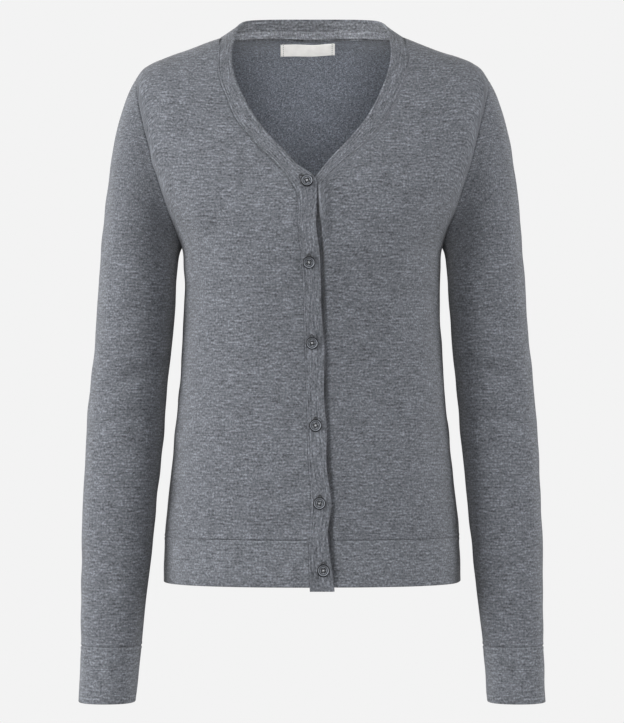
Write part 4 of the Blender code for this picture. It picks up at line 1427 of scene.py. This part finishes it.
def stitches(place):
    """Height of plain jersey: pairs of legs that slant together into a V, wale by wale."""
    across, up = two_axes(place)
    wales, courses = across / WALE, up / COURSE
    slant = abs(wales.math("FRACT") * 2.0 - 1.0)
    leg = ((courses + slant * 0.5) * TURN).math("COSINE")
    return leg * 0.5 + abs((wales * TURN).math("SINE"))


def purls(place):
    """Height of jersey's reverse: rows of small bars."""
    across, up = two_axes(place)
    return (up * (TURN / COURSE)).math("SINE") + (across * (TURN / WALE)).math("SINE") * 0.5


def melange(name, tint, grains, relief, spread=SPREAD):
    """Knit of mixed grey fibres. relief gives the knit's height at a place."""

    def paint(place):
        layers = [noise(place, (*fit, 1.0), rough=ROUGH) * weight for weight, *fit in grains]
        mixed = sum(layers[1:], layers[0])
        return {
            "Base Color": ramp(mixed, tones(tint, spread)),
            "Normal": bump(mixed, *FIBRE_BUMP, Normal=bump(relief(place), *STITCH_BUMP)),
            "Roughness": 0.92,
            "Sheen Weight": 0.25,
            "Sheen Roughness": 0.45,
            "Specular IOR Level": 0.15,
        }

    return new_material(name, cloth_place, paint)


def hypotenuse(one, two):
    return (one * one + two * two).math("SQRT")


def resin(place):
    """Button resin: a pale disc and rim, with painted shade in the sunk ring and in and round each hole,
    and painted shadow round the outer edge.
    """
    x, y = two_axes(place)
    aside = BUTTON_HOLE_OFFSET * math.sqrt(0.5)
    cloud = noise(place, RESIN_CLOUDS, 3.0, ROUGH) * CLOUDINESS
    # painted shade in the sunk ring and painted shadow round the outer edge
    disc = ramp(hypotenuse(x, y) / TONE_REACH + cloud, tones(RESIN_TINT, BUTTON_TONES_AND_SHADE))
    # painted shade in and round each hole
    from_hole = hypotenuse(abs(x) - aside, abs(y) - aside) / TONE_REACH
    both = {0: disc, 1: ramp(from_hole, tones((1, 1, 1), HOLE_SHADE_TONES))}
    return {
        "Base Color": add_node(place.tree, "VectorMath", both, operation="MULTIPLY"),
        "Normal": bump(noise(place, RESIN_GRAIN), *RESIN_BUMP),
        "Roughness": 0.42,
        "Specular IOR Level": 0.25,
    }


def thread(name, dark, pale):
    def paint(place):
        ply = noise(place, PLY, 1.0)
        stops = tones(PLY_DARK, [(0.35, dark)]) + tones(PLY_PALE, [(0.65, pale)])
        return {"Base Color": ramp(ply, stops), "Normal": bump(ply, *PLY_BUMP), "Roughness": 0.80}

    return new_material(name, object_place, paint)


def woven(place):
    across, up = two_axes(place)
    weave = (across * (TURN / WARP)).math("SINE") * (up * (TURN / WEFT)).math("SINE")
    return {
        "Base Color": ramp(noise(place, LABEL_GRAIN), LABEL_TONES),
        "Normal": bump(weave, *LABEL_BUMP),
        "Roughness": 0.85,
    }


def make_materials():
    jersey = melange("melange_jersey", TINT, JERSEY_GRAINS, stitches)
    doubled = melange("melange_doubled", TRIM_TINT, JERSEY_GRAINS, stitches)
    band = melange("melange_band", TINT, BAND_GRAINS, stitches)
    # a lighter copy of the knit, painted light on the strip's inside
    lining_painted_light = melange("melange_lining_painted_light", LINING_PAINTED_LIGHT_TINT, BAND_GRAINS, stitches)
    reverse = melange("melange_reverse", REVERSE_TINT, REVERSE_GRAINS, purls, REVERSE_SPREAD)
    label_face = new_material("label_woven_cream", cloth_place, woven)
    return {
        "knit": (jersey, reverse),
        "trim": (doubled, doubled),
        "band": (band, lining_painted_light),
        "tape": (lining_painted_light, lining_painted_light),
        "label": (label_face, label_face),
        "resin": new_material("button_resin_grey", object_place, resin),
        "thread": thread("sewing_thread_pale", 0.34, 0.62),
        # Nearly black: on the buttonholes this dark stands in for the shade round their raised edges, as
        # painted shade. The label's stitches use it too.
        "edging": thread("buttonhole_thread_grey", 0.035, 0.10),
    }


# Studio


def cleared_tree(owner):
    owner.use_nodes = True
    owner.node_tree.nodes.clear()
    return owner.node_tree


def floor():
    """A pale floor that only the camera sees."""
    glow = bpy.data.materials.new("pale_floor")
    tree = cleared_tree(glow)
    light = add_node(tree, "Emission", {"Color": (PALE, PALE, PALE, 1), "Strength": 1.0})
    plug(tree, tree.nodes.new("ShaderNodeOutputMaterial"), {"Surface": light})
    mesh = bpy.data.meshes.new("floor")
    signs = ((-1, -1), (1, -1), (1, 1), (-1, 1))
    places = [(x * FLOOR_REACH, y * FLOOR_REACH, FLOOR_Z) for x, y in signs]
    mesh.from_pydata(places, [], [(0, 1, 2, 3)])
    mesh.materials.append(glow)
    obj = in_scene("floor", mesh)
    obj.visible_diffuse = obj.visible_glossy = obj.visible_shadow = False
    obj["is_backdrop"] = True


def world():
    """Even light all round, and a pale backdrop that only the camera sees."""
    studio_world = bpy.data.worlds.new("studio")
    tree = cleared_tree(studio_world)
    shown = add_node(tree, "Background", {"Color": (PALE, PALE, PALE, 1)})
    lighting = add_node(tree, "Background", {"Color": (1, 1, 1, 1), "Strength": AMBIENT})
    seen = add_node(tree, "LightPath", {}, "Is Camera Ray")
    mixed = add_node(tree, "MixShader", {"Fac": seen, 1: lighting, 2: shown})
    plug(tree, tree.nodes.new("ShaderNodeOutputWorld"), {"Surface": mixed})
    bpy.context.scene.world = studio_world


def lamp(name, place, size, power):
    """A soft square light that looks at the garment's chest."""
    light = bpy.data.lights.new(name, "AREA")
    light.size = size
    light.energy = power
    obj = in_scene(name, light)
    obj.location = place
    obj.rotation_euler = (Vector(AIM) - Vector(place)).to_track_quat("-Z", "Y").to_euler()
    return obj


def linked_lamps():
    """Light that falls through the neck, each lamp's on the few pieces named with it."""
    for row, names in LINKED_LAMPS:
        reached = bpy.data.collections.new("reached_by_" + row[0])
        for name in names:
            reached.objects.link(bpy.data.objects[name])
        lamp(*row).light_linking.receiver_collection = reached


def studio():
    world()
    floor()
    for row in LAMPS:
        lamp(*row)
    camera = bpy.data.cameras.new("camera")
    camera.sensor_fit = "AUTO"
    camera.sensor_width = SENSOR
    camera.lens = SENSOR * VIEW_DISTANCE / VIEW_HEIGHT
    holder = in_scene("camera", camera)
    holder.location = (0, -VIEW_DISTANCE, VIEW_Z)
    holder.rotation_euler = (math.pi / 2, 0, 0)
    scene = bpy.context.scene
    scene.camera = holder
    scene.view_settings.view_transform = "Standard"
    scene.view_settings.look = "None"


def cloth(materials):
    strip = Strip()
    bands = ("neckband", "buttonhole_band", "button_band")
    whole = whole_strip(strip, materials)
    as_cloth(whole, "melange_trim", bands)
    for side, hem_width in ((-1, 0.220), (1, 0.200)):
        as_cloth(front_panel(side, strip, materials), "melange_knit")
        as_cloth(sleeve(side, materials), "melange_knit")
        as_cloth(cuff(side, materials), "melange_trim")
        as_cloth(hem_band(side, strip, materials), "melange_trim")
    as_cloth(back_panel(strip, materials), "melange_knit")
    as_cloth(hem_band(0, strip, materials), "melange_trim")
    as_cloth(neck_tape(strip, materials), "melange_trim")
    as_cloth(label(materials), "woven_label", nodes=("label",))


def corners():
    return [list(corner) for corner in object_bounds()]


def main():
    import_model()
    studio()
    materials = make_materials()
    cloth(materials)
    buttons(materials)
    linked_lamps()


main()
